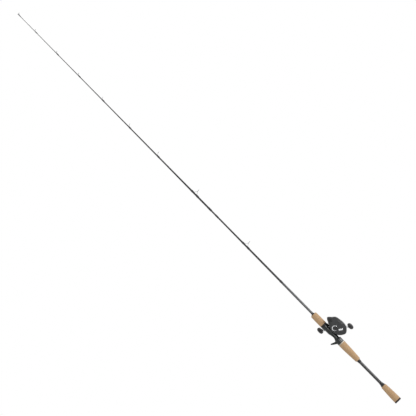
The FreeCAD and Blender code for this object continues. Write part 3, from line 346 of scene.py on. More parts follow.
class Surface:
    """A procedural material: nodes are added by kind and joined as they are made."""

    def __init__(self, name, rough, metallic=0.0, coat=0.0, coat_rough=0.05, specular=0.5, sheen=0.0):
        self.material = MATERIALS[name] = bpy.data.materials.new(name)
        self.material.use_nodes = True
        self.tree = self.material.node_tree
        self.tree.nodes.clear()
        self.shader = self.tree.nodes.new("ShaderNodeBsdfPrincipled")
        output = self.tree.nodes.new("ShaderNodeOutputMaterial")
        self.tree.links.new(self.shader.outputs["BSDF"], output.inputs["Surface"])
        values = {"Roughness": rough, "Metallic": metallic, "Coat Weight": coat,
                  "Coat Roughness": coat_rough, "Specular IOR Level": specular, "Sheen Weight": sheen}
        for key, value in values.items():
            self.shader.inputs[key].default_value = value
        self.place = self.node("TexCoord").outputs["Object"]

    def feed(self, socket, value):
        if isinstance(value, bpy.types.NodeSocket):
            self.tree.links.new(value, socket)
        else:
            socket.default_value = value

    def node(self, kind, properties=None, **inputs):
        """A new node; its inputs go by name, or by number as i0, i1 and so on."""
        made = self.tree.nodes.new("ShaderNode" + kind)
        for key, value in (properties or {}).items():
            setattr(made, key, value)
        for key, value in inputs.items():
            numbered = key[0] == "i" and key[1:].isdigit()
            self.feed(made.inputs[int(key[1:]) if numbered else key.replace("_", " ")], value)
        return made

    def noise(self, size, detail=4, roughness=0.55, stretch=(1, 1, 1), distortion=0.0):
        """Noise with features about size millimetres across."""
        place = self.node("Mapping", Vector=self.place, Scale=stretch).outputs[0]
        return self.node("TexNoise", Vector=place, Scale=1 / (size * MM), Detail=detail,
                         Roughness=roughness, Distortion=distortion).outputs["Fac"]

    def maths(self, operation, a, b=0.0, c=0.0):
        return self.node("Math", {"operation": operation}, i0=a, i1=b, i2=c).outputs[0]

    def ranged(self, value, low, high, to_low, to_high):
        return self.node("MapRange", {"interpolation_type": "SMOOTHSTEP"}, Value=value, From_Min=low,
                         From_Max=high, To_Min=to_low, To_Max=to_high).outputs[0]

    def ramp(self, value, stops):
        made = self.node("ValToRGB", Fac=value)
        elements = made.color_ramp.elements
        while len(elements) < len(stops):
            elements.new(0.5)
        for element, (place, colour) in zip(elements, stops):
            element.position, element.color = place, (*colour, 1)
        return made.outputs[0]

    def mixed(self, amount, a, b):
        """Colour a turning into colour b as amount goes from 0 to 1."""
        a, b = ((*colour, 1) if isinstance(colour, tuple) else colour for colour in (a, b))
        return self.node("Mix", {"data_type": "RGBA"}, i0=amount, i6=a, i7=b).outputs[2]

    def separate(self):
        return self.node("SeparateXYZ", Vector=self.place).outputs

    def set(self, key, socket):
        self.tree.links.new(socket, self.shader.inputs[key])

    def bump(self, height, depth, strength):
        """Bump whose heights of 0 to 1 stand for depth millimetres."""
        made = self.node("Bump", Strength=strength, Distance=depth * MM, Height=height)
        self.set("Normal", made.outputs[0])


def tint(colour, factor):
    return tuple(min(1.0, c * factor) for c in colour)


def moulded(name, colour, rough, grain=0.5, depth=0.01, vary=0.18, coat=0.0, specular=0.4, sheen=0.0):
    """Moulded plastic or rubber: fine grain, cloudy colour and handled patches."""
    s = Surface(name, rough, coat=coat, specular=specular, sheen=sheen)
    cloud = s.noise(14, 3)
    fine = s.noise(grain, 2)
    base = s.ramp(cloud, [(0.3, tint(colour, 1 - vary)), (0.72, tint(colour, 1 + vary))])
    s.set("Base Color", s.mixed(s.ranged(fine, 0.35, 0.7, 0, 0.35), base, tint(colour, 1.5)))
    s.set("Roughness", s.ranged(s.noise(6, 3), 0.3, 0.7, rough - 0.07, rough + 0.1))
    s.bump(fine, depth, 0.6)


def metal(name, colour, rough, stretch=(1, 1, 1), size=0.4, wear=0.35):
    """Machined or plated metal: directional marks, faint stains and bright worn edges."""
    s = Surface(name, rough, metallic=1.0)
    marks = s.noise(size, 3, stretch=stretch)
    stains = s.noise(9, 4)
    base = s.ramp(marks, [(0.3, tint(colour, 0.88)), (0.7, tint(colour, 1.12))])
    base = s.mixed(s.ranged(stains, 0.5, 0.75, 0, 0.25), base, tint(colour, 0.7))
    edge = s.ranged(s.node("NewGeometry").outputs["Pointiness"], 0.53, 0.62, 0, wear)
    s.set("Base Color", s.mixed(edge, base, tint(colour, 1.7)))
    s.set("Roughness", s.ranged(stains, 0.3, 0.7, rough - 0.06, rough + 0.1))
    s.bump(marks, 0.004, 0.6)


def painted(name, colour, rough, metallic=0.3, flake=0.18):
    """Satin paint over metal or graphite: flake, orange peel, hair scratches and hand marks."""
    s = Surface(name, rough, metallic=metallic, coat=0.1, coat_rough=0.25, specular=0.3)
    sparkle = s.noise(flake, 1)
    peel = s.noise(0.9, 2)
    smudge = s.noise(11, 4, distortion=0.6)
    base = s.ramp(sparkle, [(0.36, tint(colour, 0.72)), (0.66, tint(colour, 1.5))])
    base = s.mixed(s.ranged(smudge, 0.45, 0.75, 0, 0.4), base, tint(colour, 1.35))
    hair = s.noise(0.5, 2, stretch=(0.12, 1, 2.2), distortion=0.3)
    handled = s.ranged(smudge, 0.5, 0.7, 0, 1)
    scratch = s.maths("MULTIPLY", s.ranged(hair, 0.68, 0.76, 0, 0.5), handled)
    s.set("Base Color", s.mixed(scratch, base, tint(colour, 3.2)))
    s.set("Roughness", s.ranged(smudge, 0.3, 0.75, rough - 0.08, rough + 0.12))
    s.bump(peel, 0.012, 0.5)


def cork_material():
    """Rings of cork glued end to end: each its own tone, with grain, pores and filler."""
    s = Surface("cork", 0.72, specular=0.25)
    place = s.maths("DIVIDE", s.separate()[0], CORK_RING * MM)
    ring = s.maths("FLOOR", place)
    tone = s.node("TexWhiteNoise", {"noise_dimensions": "1D"}, W=ring).outputs["Value"]
    seam = s.maths("ABSOLUTE", s.maths("SUBTRACT", s.maths("FRACT", place), 0.5))
    dark, middle, light = (0.255, 0.152, 0.076), (0.325, 0.208, 0.108), (0.385, 0.260, 0.146)
    pore_brown, filler, glue = (0.13, 0.062, 0.027), (0.46, 0.34, 0.22), (0.20, 0.105, 0.05)
    base = s.ramp(s.noise(3, 5, 0.62), [(0.3, dark), (0.5, middle), (0.72, light)])
    base = s.mixed(s.ranged(tone, 0, 1, 0, 0.28), base, (0.29, 0.165, 0.09))
    fleck = s.noise(1.5, 3, 0.6, stretch=(1.9, 0.8, 0.8))
    pore = s.ranged(fleck, 0.60, 0.68, 0, 1)
    base = s.mixed(s.maths("MULTIPLY", pore, 0.75), base, pore_brown)
    grain = s.noise(0.35, 3)
    base = s.mixed(s.ranged(grain, 0.3, 0.75, 0, 0.3), base, filler)
    line = s.ranged(seam, 0.485, 0.4975, 0, 0.45)
    s.set("Base Color", s.mixed(line, base, glue))
    s.set("Roughness", s.ranged(fleck, 0.3, 0.7, 0.62, 0.82))
    height = s.maths("SUBTRACT", s.maths("MULTIPLY", grain, 0.3), pore)
    s.bump(s.maths("SUBTRACT", height, line), 0.06, 0.7)


def carbon_material(name, colour, rough=0.22):
    """Unsanded carbon blank: the spiral of the shrink tape under clear lacquer."""
    s = Surface(name, rough, metallic=0.15, coat=0.4, coat_rough=0.06, specular=0.3)
    x, y, z = s.separate()
    turn = s.maths("DIVIDE", s.maths("ARCTAN2", z, y), TAU)
    spiral = s.maths("FRACT", s.maths("ADD", s.maths("DIVIDE", x, 2.6 * MM), turn))
    ridge = s.maths("PINGPONG", spiral, 0.5)
    fibre = s.noise(0.7, 3, stretch=(0.12, 1.6, 1.6))
    base = s.ramp(fibre, [(0.32, tint(colour, 0.62)), (0.7, tint(colour, 1.5))])
    s.set("Base Color", s.mixed(s.ranged(ridge, 0.03, 0.2, 0.5, 0), base, tint(colour, 0.45)))
    s.set("Roughness", s.ranged(fibre, 0.3, 0.7, rough - 0.05, rough + 0.1))
    s.bump(s.ranged(ridge, 0, 0.3, 0, 1), 0.03, 0.5)


def thread_material():
    """Nylon thread wound side by side, seen through a clear epoxy coat; each strand carries painted shade
    at its edges and a painted highlight along its crown.
    """
    s = Surface("thread_wrap", 0.42, coat=0.35, coat_rough=0.05, specular=0.2)
    strand = s.maths("FRACT", s.maths("DIVIDE", s.separate()[0], 0.22 * MM))
    ridge = s.maths("PINGPONG", strand, 0.5)
    # Painted shade and highlight: darker where the strands meet, lighter along the middle of each strand.
    base = s.ramp(ridge, [(0, (0.004, 0.004, 0.005)), (0.5, (0.018, 0.018, 0.021))])
    cloud = s.ranged(s.noise(5, 3), 0.4, 0.7, 0, 0.5)
    s.set("Base Color", s.mixed(cloud, base, (0.026, 0.026, 0.030)))
    s.bump(ridge, 0.05, 0.5)


def fibre_material():
    """Woven carbon drag washers."""
    s = Surface("washer_fibre", 0.5, specular=0.4)
    x, _, z = s.separate()
    a, b = (s.maths("SINE", s.maths("MULTIPLY", k, TAU / (1.6 * MM))) for k in (x, z))
    weave = s.maths("MULTIPLY_ADD", s.maths("MULTIPLY", a, b), 0.5, 0.5)
    s.set("Base Color", s.ramp(weave, [(0.3, (0.02, 0.02, 0.022)), (0.7, (0.09, 0.09, 0.095))]))
    s.bump(weave, 0.05, 0.6)


def ceramic_material():
    """Polished guide-ring ceramic."""
    s = Surface("ring_ceramic", 0.08, coat=0.6, coat_rough=0.02, specular=0.7)
    base = s.ramp(s.noise(0.6, 4), [(0.35, (0.025, 0.027, 0.03)), (0.7, (0.06, 0.063, 0.068))])
    s.set("Base Color", base)
    s.set("Roughness", s.ranged(s.noise(1.5, 3), 0.3, 0.7, 0.05, 0.14))
    s.bump(s.noise(0.25, 2), 0.002, 0.4)


cork_material()
carbon_material("carbon_blank", (0.013, 0.0135, 0.0145))
carbon_material("sleeve_grey", (0.055, 0.057, 0.060), 0.3)
thread_material()
ceramic_material()
fibre_material()
moulded("dark_rubber", (0.022, 0.015, 0.013), 0.62, 0.6, 0.03, specular=0.2, sheen=0.05)
moulded("knob_rubber", (0.008, 0.008, 0.009), 0.55, 0.45, 0.02, specular=0.15)
moulded("black_trim", (0.010, 0.010, 0.011), 0.25, 0.8, 0.004, coat=0.1, specular=0.25)
moulded("seat_plastic", (0.0070, 0.0095, 0.0090), 0.2, 0.9, 0.004, coat=0.2, specular=0.25)
moulded("dial_plastic", (0.015, 0.015, 0.016), 0.34, 0.4, 0.008, specular=0.25)
moulded("yoke_plastic", (0.62, 0.61, 0.57), 0.45, 0.5, 0.006, vary=0.08)
moulded("idler_plastic", (0.68, 0.67, 0.62), 0.42, 0.5, 0.006, vary=0.08)
painted("cover_graphite", (0.022, 0.0225, 0.0235), 0.36)
painted("frame_metal", (0.017, 0.018, 0.020), 0.34, metallic=0.5, flake=0.25)
painted("nut_metal", (0.016, 0.015, 0.016), 0.3, metallic=0.6, flake=0.3)
metal("trim_metal", (0.36, 0.32, 0.27), 0.36, (6, 0.5, 0.5))
metal("silver_metal", (0.60, 0.61, 0.62), 0.24, (0.7, 1, 2.5), 0.5)
metal("bright_steel", (0.56, 0.57, 0.59), 0.25, (1, 5, 1), 0.35)
metal("guide_steel", (0.085, 0.087, 0.095), 0.27, (0.2, 1.5, 1.5), 0.5, wear=0.6)
metal("magnet_metal", (0.62, 0.62, 0.65), 0.16, size=0.8)
metal("spool_metal", (0.26, 0.27, 0.29), 0.26, (1, 6, 1), 0.3)
metal("gear_brass", (0.62, 0.44, 0.19), 0.3, (2, 6, 2), 0.4)
for node, obj in frame["nodes"].items():
    for place in obj.material_slots:
        place.material = MATERIALS[SLOT_OF[node]]


# ---- cork grips and trim
def quarter_round(x_end, r_end, size, sign):
    """Rounded shoulder that ends at x_end; sign says on which side the grip lies."""
    return [(x_end + sign * size * (1 - math.sin(a)), r_end - size * (1 - math.cos(a)))
            for a in np.linspace(0, math.pi / 2, 8)]


def swelling(x0, r0, x1, r1, bulge):
    """Taper from one station to another, fuller by bulge in the middle."""
    t = np.linspace(0, 1, 40)
    return list(zip(x0 + (x1 - x0) * t, r0 + (r1 - r0) * t + bulge * np.sin(math.pi * t)))


def cork_relief(bore):
    """Pores, grain and glued seams cut into the outside of a grip."""
    def shape(x, angle, r):
        out = r.copy()
        for i in range(r.shape[0]):
            if r[i, 0] < bore + 0.8:
                continue
            seam = abs((x[i, 0] + CORK_RING / 2) % CORK_RING - CORK_RING / 2)
            groove = 0.10 * math.exp(-(seam / 0.22) ** 2)
            for j in range(r.shape[1]):
                a = angle[i, j]
                p = Vector((x[i, j], r[i, j] * math.cos(a), r[i, j] * math.sin(a)))
                fleck = noise.noise(Vector((p.x * 0.95, p.y * 0.42, p.z * 0.42)))
                pit = 0.34 * min(1.0, max(0.0, (fleck - 0.36) / 0.16))
                out[i, j] -= groove + pit + 0.05 * noise.noise(p * 1.3)
        return out
    return shape


def grip(node, outside, bore):
    start, end = outside[0][0], outside[-1][0]
    profile = divided(outside, 0.55)
    profile += [(end, bore + 0.4), (end - 0.4, bore), (start + 0.4, bore), (start, bore + 0.4)]
    shell = Shell()
    shell.turned(profile, ROD_AXES, 150, cork_relief(bore))
    piece("cork_" + node, shell, [node], crease=60)


grip("butt_grip", swelling(6.5, BARREL_R, 76.5, 10.6, 0.5) + quarter_round(79, 10.6, 2.5, -1)[1:],
     bore=5.67)
grip("rear_grip", quarter_round(209, 10.0, 3.2, 1)[::-1] + swelling(212.2, 10.0, 294, BARREL_R, 0.5)[1:],
     bore=5.66)
grip("fore_grip", [(392.0, 12.9)] + swelling(393, 12.9, 440, 12.4, 0.3)
     + quarter_round(443, 12.4, 3.0, -1)[1:], bore=9.5)


def turned_piece(name, profile, node, rounding, segments=128, shape=None, steps=4):
    """A piece turned about the rod's axis from (x, radius) corners."""
    shell = Shell()
    shell.turned(softened(profile, rounding, steps), ROD_AXES, segments, shape)
    piece(name, shell, [node])


def cap_tread(x, angle, r):
    """Shallow moulded ribs round the butt cap's side."""
    rib = 0.12 * np.cos(angle * 40) * smoothstep(1.8, 2.6, x) * (1 - smoothstep(4.8, 5.6, x))
    return np.where(r > 12.5, r + rib - 0.12, r)


# Turned trim: piece, node, rounding, (x, radius) corners.
TRIM = [
    ("butt_check", "butt_grip_check", 0.25,
     [(79, 5.67), (79, 8.3), (79.6, 8.6), (81.4, 8.6), (81.9, 8.2), (82.6, 8.2), (83, 8.35), (87, 6.95),
      (87.5, 6.7), (88.2, 6.7), (88.6, 6.8), (93.8, 6), (94.4, 5.85), (95, 5.75), (95, 5.67)]),
    ("rear_check", "rear_grip_check", 0.25,
     [(198.5, 5.67), (198.5, 5.85), (199.2, 6), (201.5, 6.65), (202, 6.6), (202.6, 6.6), (203.1, 6.72),
      (206.2, 6.85), (206.7, 6.7), (207.3, 6.7), (207.8, 6.9), (209, 6.9), (209, 5.66)]),
    ("trim_ring", "rear_trim_ring", 0.2,
     [(294, 5.3), (294, 13.2), (294.3, 13.5), (295.3, 13.5), (295.6, 13.3), (296.4, 13.3), (296.7, 13.5),
      (297.7, 13.5), (298, 13.2), (298, 5.3)]),
    ("fore_check", "fore_grip_check", 0.2,
     [(443, 5.4), (443, 7), (443.3, 7.2), (444, 7.2), (444.4, 7), (444.8, 7), (445.2, 6.9),
      (446.2, 6.4), (446.5, 6.2), (446.5, 5.4)]),
]
CAP_PROFILE = [(0, 0.001), (0, 4), (0.35, 4.6), (0.35, 9.4), (0, 10), (0, 12), (0.6, 13.1),
               (1.8, 13.5), (2.2, 13.45), (3, 13.45), (4.4, 13.45), (5.6, 13.45), (6.5, 13.5),
               (6.5, 5.67), (4, 5.67), (4, 0.001)]
turned_piece("butt_cap_rubber", CAP_PROFILE, "butt_cap", 0.5, 240, cap_tread, 6)
for name, node, rounding, profile in TRIM:
    turned_piece(name, profile, node, rounding)


def knurl(x, angle, r):
    """Flutes between the lock nut's grooves."""
    cut = 0.16 * (0.5 + 0.5 * np.cos(angle * 48))
    return np.where(r > 12.8, r - cut, r)


NUT_PROFILE = [(384, 9.36), (384, 12.6), (384.4, 13), (385.5, 13), (385.7, 12.6), (386.3, 12.6),
               (386.5, 13), (387.6, 13), (387.8, 12.6), (388.4, 12.6), (388.6, 13), (389.6, 13),
               (389.8, 12.6), (390.4, 12.6), (390.6, 13), (391.6, 13), (392, 12.7), (392, 9.36)]
turned_piece("lock_nut", NUT_PROFILE, "seat_lock_nut", 0.15, 384, knurl, 3)


# ---- blanks and sleeve
def blank(name, node, outside, bore, solid_end=False):
    """A hollow tapered blank; a solid end has no bore beyond the bore's last station."""
    outer, inner = divided(outside, 12), divided(bore, 40)
    ending = [(outer[-1][0], 0.001), (inner[-1][0], 0.001)] if solid_end else []
    shell = Shell()
    shell.turned(outer + ending + inner[::-1], ROD_AXES, 64)
    piece(name, shell, [node], crease=30)


blank("butt_section", "butt_blank", BUTT_BLANK, BUTT_BORE)
blank("tip_section", "tip_blank", TIP_BLANK, TIP_BORE, solid_end=True)

SLEEVE_WALL = [(455, 0.03), (455.6, 0.16), (456.6, 0.24), (458, 0.25), (500, 0.25), (550, 0.25),
               (601, 0.25), (602.6, 0.22), (603.5, 0.14), (604, 0.03), (604, 0), (455, 0)]
turned_piece("grey_sleeve", [(x, at_stations(BUTT_BLANK, x) + wall) for x, wall in SLEEVE_WALL],
             "blank_sleeve", 0.2, 96)


# ---- reel seat
SEAT_REAR, SEAT_FRONT = 298.0, 400.0
THREAD_START, THREAD_PITCH = 384.0, 1.5
SADDLE_R = 11.0
TROUGH_Z = 8.0
NO_LIMIT = 99.0
# Depth below the axis of the scoop in the seat's underside: (x, depth).
SCOOP = [(316, 30.0), (318, 14.0), (321, 9.6), (327, 7.2), (334, 6.7), (343, 8.2), (355, 12.0),
         (358, 30)]


def soft_least(a, b):
    """The lesser of two radii, with the corner between them rounded."""
    k = 0.35
    return -k * np.logaddexp(-a / k, -b / k)


def seat_outside(x, angle):
    """Radius of the seat: barrel, saddle with a trough above and a scoop below, thread."""
    up = np.sin(angle)
    flat = np.where(up > 0.05, TROUGH_Z / np.maximum(up, 0.05), NO_LIMIT)
    below = at_stations(SCOOP, x)
    scoop = np.where(up < -0.05, below / np.maximum(-up, 0.05), NO_LIMIT)
    saddle = soft_least(soft_least(np.full_like(x, SADDLE_R), flat), scoop)
    start = np.where(up > 0.25, 316.6, 312.0)
    end = np.where(up > 0.25, 318.0, 321.5)
    barrel = 1 - smoothstep(start, end, x)
    r = saddle + (BARREL_R - saddle) * barrel
    thread = 9.25 - 0.22 * np.abs(((x / THREAD_PITCH - angle / TAU) % 1.0) * 2 - 1)
    return np.where(x > THREAD_START, thread, r)


def reel_seat():
    """The seat's tube and its trigger, under one skin."""
    xs = np.concatenate([np.linspace(SEAT_REAR, 311, 14), np.linspace(311.4, 322, 44),
                         np.linspace(322.5, 383.9, 110), np.linspace(384.1, SEAT_FRONT, 90)])
    segments = 160
    angle = around(segments)
    x, a = np.meshgrid(xs, angle, indexing="ij")
    r = seat_outside(x, a)
    r[0] = BARREL_R - 0.3
    r[-1] -= 0.3
    x[-1] += 0.001
    bore = np.array([[SEAT_FRONT, 4.76], [350.0, 4.99], [SEAT_REAR, 5.23]])
    bx, br = (np.repeat(bore[:, k:k + 1], segments, 1) for k in (0, 1))
    x, r = np.vstack([x, bx]), np.vstack([r, br])
    a = np.broadcast_to(angle, x.shape)
    shell = Shell()
    shell.grid(joined(x, r * np.cos(a), r * np.sin(a)), wrap_rows=True)
    count = 40
    rear = flowing([(303.6, -7.0), (304.6, -12.2), (308.4, -18.8), (313.0, -26.0), (316.9, -31.0),
                    (318.8, -32.6)], count)
    front = flowing([(320.2, -7.0), (317.0, -11.5), (317.0, -16.0), (318.8, -21.5), (320.9, -27.0),
                     (321.9, -31.2)], count)
    middle, half = (rear + front) / 2, np.linalg.norm(front - rear, axis=1) / 2
    half[-6:] *= np.array([1, 0.99, 0.96, 0.9, 0.78, 0.5])
    width = np.linspace(5.6, 3.9, count)
    width[-6:] *= np.array([1, 0.98, 0.94, 0.87, 0.75, 0.5])
    shell.swept(joined(middle[:, 0], 0, middle[:, 1]), width, half, (0, 1, 0), 36, 2.5)
    obj = remeshed(mesh_of("reel_seat_skin", shell), voxel=0.42, rounds=8)
    finished(obj, ["reel_seat"], crease=80)


reel_seat()
edged("seat_hood", 0.45)


def hood_crest():
    """Raised crest on the hood over the toe of the reel foot."""
    t = np.linspace(0, 1, 30)
    stations = [0, 0.4, 0.75, 1]
    height = np.interp(t, stations, [12.0, 12.6, 13.2, 13.45])
    half = np.interp(t, stations, [0.6, 1.0, 1.65, 1.95])
    ends = np.sqrt(np.clip(1 - (2 * t - 1) ** 14, 0.06, 1))
    shell = Shell()
    shell.swept(joined(374.5 + 9.1 * t, 0, height), 5.2 * ends, half * ends, (0, 1, 0), 40, 2.6)
    piece("hood_crest", shell, [], body="seat_hood", slot="seat_plastic")


hood_crest()


# ---- guides, wraps and tip-top
def foot_starts(x, outer, feet):
    """Where each foot of a guide starts along the rod, and which way it points."""
    reach = outer * 0.75 + 2.0
    return [(x - reach, -1), (x + reach, 1)][:feet]


def blank_radius(x):
    return float(at_stations(BUTT_BLANK if x < FERRULE_MOUTH else TIP_BLANK, x))


def holder_profile(inner, outer, half):
    return softened([(-half, inner), (-half, outer - 0.1), (-half * 0.5, outer), (half * 0.5, outer),
                     (half, outer - 0.1), (half, inner)], 0.22, 3)


def guide_into(shell, x, z, outer, feet):
    """Ring holder, and for each foot its two legs and the foot itself."""
    shell.turned(holder_profile(outer - 0.7, outer, 0.55), leaning(x, z, GUIDE_LEAN), 64)
    for near, way in foot_starts(x, outer, feet):
        base = blank_radius(near)
        for side in (-1, 1):
            a = math.radians(270 + side * 55)
            hip = (x, (outer - 0.35) * math.cos(a), z + (outer - 0.35) * math.sin(a))
            knee = (x + (near - x) * 0.62, hip[1] * 0.66, base + 0.35 + (hip[2] - base) * 0.42)
            low = (near - way * 0.9, side * 0.34, base + 0.62)
            toe = (near + way * 1.6, side * 0.2, base + 0.42)
            path = flowing([hip, knee, low, toe], 22)
            shell.swept(path, 0.44, 0.44, (0, 1, 0) if abs(hip[1]) < 0.2 else (0.2, 1, 0.1), 14)
        length = np.linspace(0, 1, 24)
        along = near - way + way * (FOOT_LENGTH + 0.6) * length
        foot = joined(along, 0, base + 0.36 - 0.2 * length)
        ends = np.sqrt(np.clip(1 - (2 * length - 1) ** 12, 0.02, 1))
        shell.swept(foot, (1.05 - 0.5 * length) * ends, (0.36 - 0.22 * length) * ends, (0, 1, 0), 20, 2.6)


def ring_into(shell, x, z, outer, lean):
    """Ceramic ring with a round section."""
    bead = 0.12 * outer + 0.1
    circle = [(bead * math.cos(a), outer - bead + bead * math.sin(a))
              for a in np.linspace(0, TAU, 20, False)]
    shell.turned(circle, leaning(x, z, lean), 72)


def wrap_into(shell, start, end, foot=0.0):
    """Thread under an epoxy coat, domed, feathered at both ends and raised over a foot."""
    segments = 40
    xs = np.linspace(start, end, max(24, int(abs(end - start) * 2.2)))
    angle = around(segments)
    x, a = np.meshgrid(xs, angle, indexing="ij")
    t = (x - xs[0]) / (xs[-1] - xs[0])
    dome = np.clip(1 - (2 * t - 1) ** 8, 0, 1) ** 0.6
    ridge = foot * np.exp(-(((a - math.pi / 2 + math.pi) % TAU - math.pi) / 0.62) ** 4)
    base = np.array([blank_radius(k) for k in xs])[:, None]
    r = base + 0.02 + (0.42 + ridge) * dome
    inner = np.repeat(base, segments, 1)[::-1] - 0.01
    outside = joined(x, r * np.cos(a), r * np.sin(a))
    inside = joined(x[::-1], inner * np.cos(a), inner * np.sin(a))
    shell.grid(np.vstack([outside, inside]), wrap_rows=True)


def guides():
    """Guide frames by node; rings and windings by whether they are on the tip section."""
    frames = {}
    rings, windings = ({False: Shell(), True: Shell()} for _ in range(2))
    for name, x, z, outer, feet in GUIDES:
        on_tip = x > FERRULE_MOUTH
        guide_into(frames.setdefault(name, Shell()), x, z, outer, feet)
        ring_into(rings[on_tip], x, z, outer - 0.72, GUIDE_LEAN)
        for near, way in foot_starts(x, outer, feet):
            wrap_into(windings[on_tip], near + 2 * way, near + (FOOT_LENGTH + 3) * way, foot=0.5)
    wrap_into(windings[True], FERRULE_MOUTH + 0.2, FERRULE_MOUTH + 18)
    wrap_into(windings[False], 935.0, 951.0)
    wrap_into(windings[False], 604.2, 616.0)
    x, z = TIP_RING
    lip = softened(corners(-0.75, 0.75, 1.62, 2.26), 0.3, 6)
    rings[True].turned(lip, leaning(x, z, TIP_LEAN), 64)
    for name, shell in frames.items():
        piece("wire_" + name, shell, [name], crease=50)
    piece("ceramic_butt", rings[False], ["butt_guide_ring"], crease=80)
    piece("ceramic_tip", rings[True], ["tip_guide_rings"], crease=80)
    piece("winding_butt", windings[False], ["butt_thread_wraps"], crease=60)
    piece("winding_tip", windings[True], ["tip_thread_wraps"], crease=60)


guides()


def tip_top():
    """Tube over the blank's end, ring holder, its two braces and the saddle between them."""
    shell = Shell()
    wall = [(1962, 1.0), (1962, 1.2), (1962.4, 1.35), (1964, 1.4), (1965.2, 1.35), (1976.6, 1.35),
            (1977.6, 1.1), (1978, 0.6), (1978, 0.001), (1977.1, 0.001), (1977.1, 0.95)]
    shell.turned(softened(wall, 0.25, 3), ROD_AXES, 48)
    x, z = TIP_RING
    shell.turned(holder_profile(2.3, 2.9, 0.55), leaning(x, z, TIP_LEAN), 56)
    for side in (-1, 1):
        hip = (x - 0.9, side * 2.45, z - 0.2)
        path = [(1964.5, side * 0.75, 1.0), (1967.0, side * 0.95, 1.35), (1971.5, side * 1.9, 2.6), hip]
        shell.swept(flowing(path, 24), 0.4, 0.4, (0, 1, 0.3), 14)
    saddle = flowing([(1974.3, 0, 0.9), (1974.6, 0, 1.6), (1975.1, 0, 2.4)], 12)
    shell.swept(saddle, 0.75, 0.42, (0, 1, 0), 16)
    piece("tip_top_fine", shell, ["tip_top"], crease=50)


tip_top()


# ---- palm-side cover
# Outside wall: (y, share of the outline).
PALM_WALL = flowing([(14.0, 1.0), (16.5, 1.002), (19.0, 1.0), (23.5, 0.975), (26.8, 0.91),
                     (28.45, 0.80)], 30)
FACE_Y = 28.5
SLANT = math.radians(118)
VENTS = [(379.6, 27.0), (383.0, 28.8), (386.4, 30.6), (389.8, 32.4)]


def capsule(x, z, centre, angle, half_length, half_width):
    """Signed distance to a slot with round ends: negative inside."""
    dx, dz = x - centre[0], z - centre[1]
    along = dx * math.cos(angle) + dz * math.sin(angle)
    off = -dx * math.sin(angle) + dz * math.cos(angle)
    return np.hypot(np.maximum(np.abs(along) - half_length, 0), off) - half_width


def face_relief(x, z):
    """Raised panel and its groove, spool boss, vents, waist groove and finger notch."""
    dx, dz = x - OUTLINE_CENTRE[0], z - OUTLINE_CENTRE[1]
    scale = np.hypot(dx, dz) / outline_radius(np.arctan2(dz, dx), 1.0, OUTLINE_CENTRE)
    height = 0.55 * (1 - smoothstep(0.66, 0.71, scale))
    height = height - 0.40 * np.exp(-((scale - 0.745) / 0.013) ** 2)
    spool = np.hypot(x - SPOOL[0], z - SPOOL[1])
    height = height + 0.45 * (1 - smoothstep(8.2, 8.9, spool))
    height = height - 0.5 * (1 - smoothstep(4.6, 5.6, spool))
    for centre in VENTS:
        slot = capsule(x, z, centre, SLANT, 4.2, 0.75)
        height = height - 1.1 * (1 - smoothstep(-0.35, 0.25, slot))
    waist = capsule(x, z, (334.0, 46.5), math.radians(38), 9.0, 1.1)
    height = height - 0.5 * (1 - smoothstep(-0.5, 0.6, waist))
    notch = capsule(x, z, (322.6, 37.2), SLANT, 2.6, 2.2)
    return height * smoothstep(0.0, 2.6, notch) - 1.1 * (1 - smoothstep(-2.1, 0.9, notch))


def palm_cover():
    """Hollow cover: inside, outside wall, face with its relief, and the well for the dial."""
    segments = 420
    angle = around(segments)
    direction = np.stack([np.cos(angle), np.sin(angle)], -1)
    pocket = circle_radius(angle, BEZEL, BEZEL_R + 0.04, DIAL_SEAT)

    def row(y, radius, centre=DIAL_SEAT):
        points = np.array(centre) + direction * np.broadcast_to(radius, (segments,))[:, None]
        return joined(points[:, 0], y, points[:, 1])

    rows = [row(18.2, 0.001), row(18.2, 10.8), row(18.6, 11.2), row(26.2, 11.3)]
    for y, scale in ((26.4, 0.78), (25.6, 0.86), (23.0, 0.915), (20.0, 0.932), (14.2, 0.933)):
        least = 11.5 + (26.4 - y) * 0.12
        rows.append(row(y, np.maximum(outline_radius(angle, scale, DIAL_SEAT), least)))
    rows.append(row(14.0, outline_radius(angle, 0.938, DIAL_SEAT)))
    rows.append(row(14.0, outline_radius(angle, 0.994, DIAL_SEAT)))
    wall = PALM_WALL[1:]
    for k, (y, scale) in enumerate(wall):
        least = pocket + 0.25 + 0.12 * (len(wall) - 1 - k)
        radius = np.maximum(outline_radius(angle, scale, DIAL_SEAT), least)
        groove = 0.35 * math.exp(-((y - 17.2) / 0.35) ** 2)
        rows.append(row(y, radius - groove))
    rim = np.maximum(outline_radius(angle, wall[-1][1], DIAL_SEAT), pocket + 0.25)
    for t in np.linspace(0, 1, 80)[1:]:
        radius = rim + (pocket + 0.1 - rim) * t
        flat = row(FACE_Y, radius)
        lift = face_relief(flat[:, 0], flat[:, 2]) * smoothstep(0.0, 0.4, radius - pocket - 0.1)
        rows.append(row(FACE_Y + lift, radius))
    rows += [row(FACE_Y - 0.12, pocket), row(27.3, pocket), row(27.25, 8.25, DIAL),
             row(27.1, 8.2, DIAL), row(24.9, 8.2, DIAL), row(24.8, 0.001, DIAL)]
    shell = Shell()
    shell.grid(np.array(rows))
    shell.turned(softened(corners(11.6, 27.0, 14.2, 15.8), 0.25), across_reel(SPOOL), 120)
    post = [(11.9, 4.52), (11.9, 6.4), (27.0, 6.4), (27.0, 0.001), (17.6, 0.001), (17.6, 4.52)]
    shell.turned(softened(post, 0.25), across_reel(SPOOL), 96)
    piece("palm_cover_skin", shell, ["palm_side_cover"], crease=34)


palm_cover()


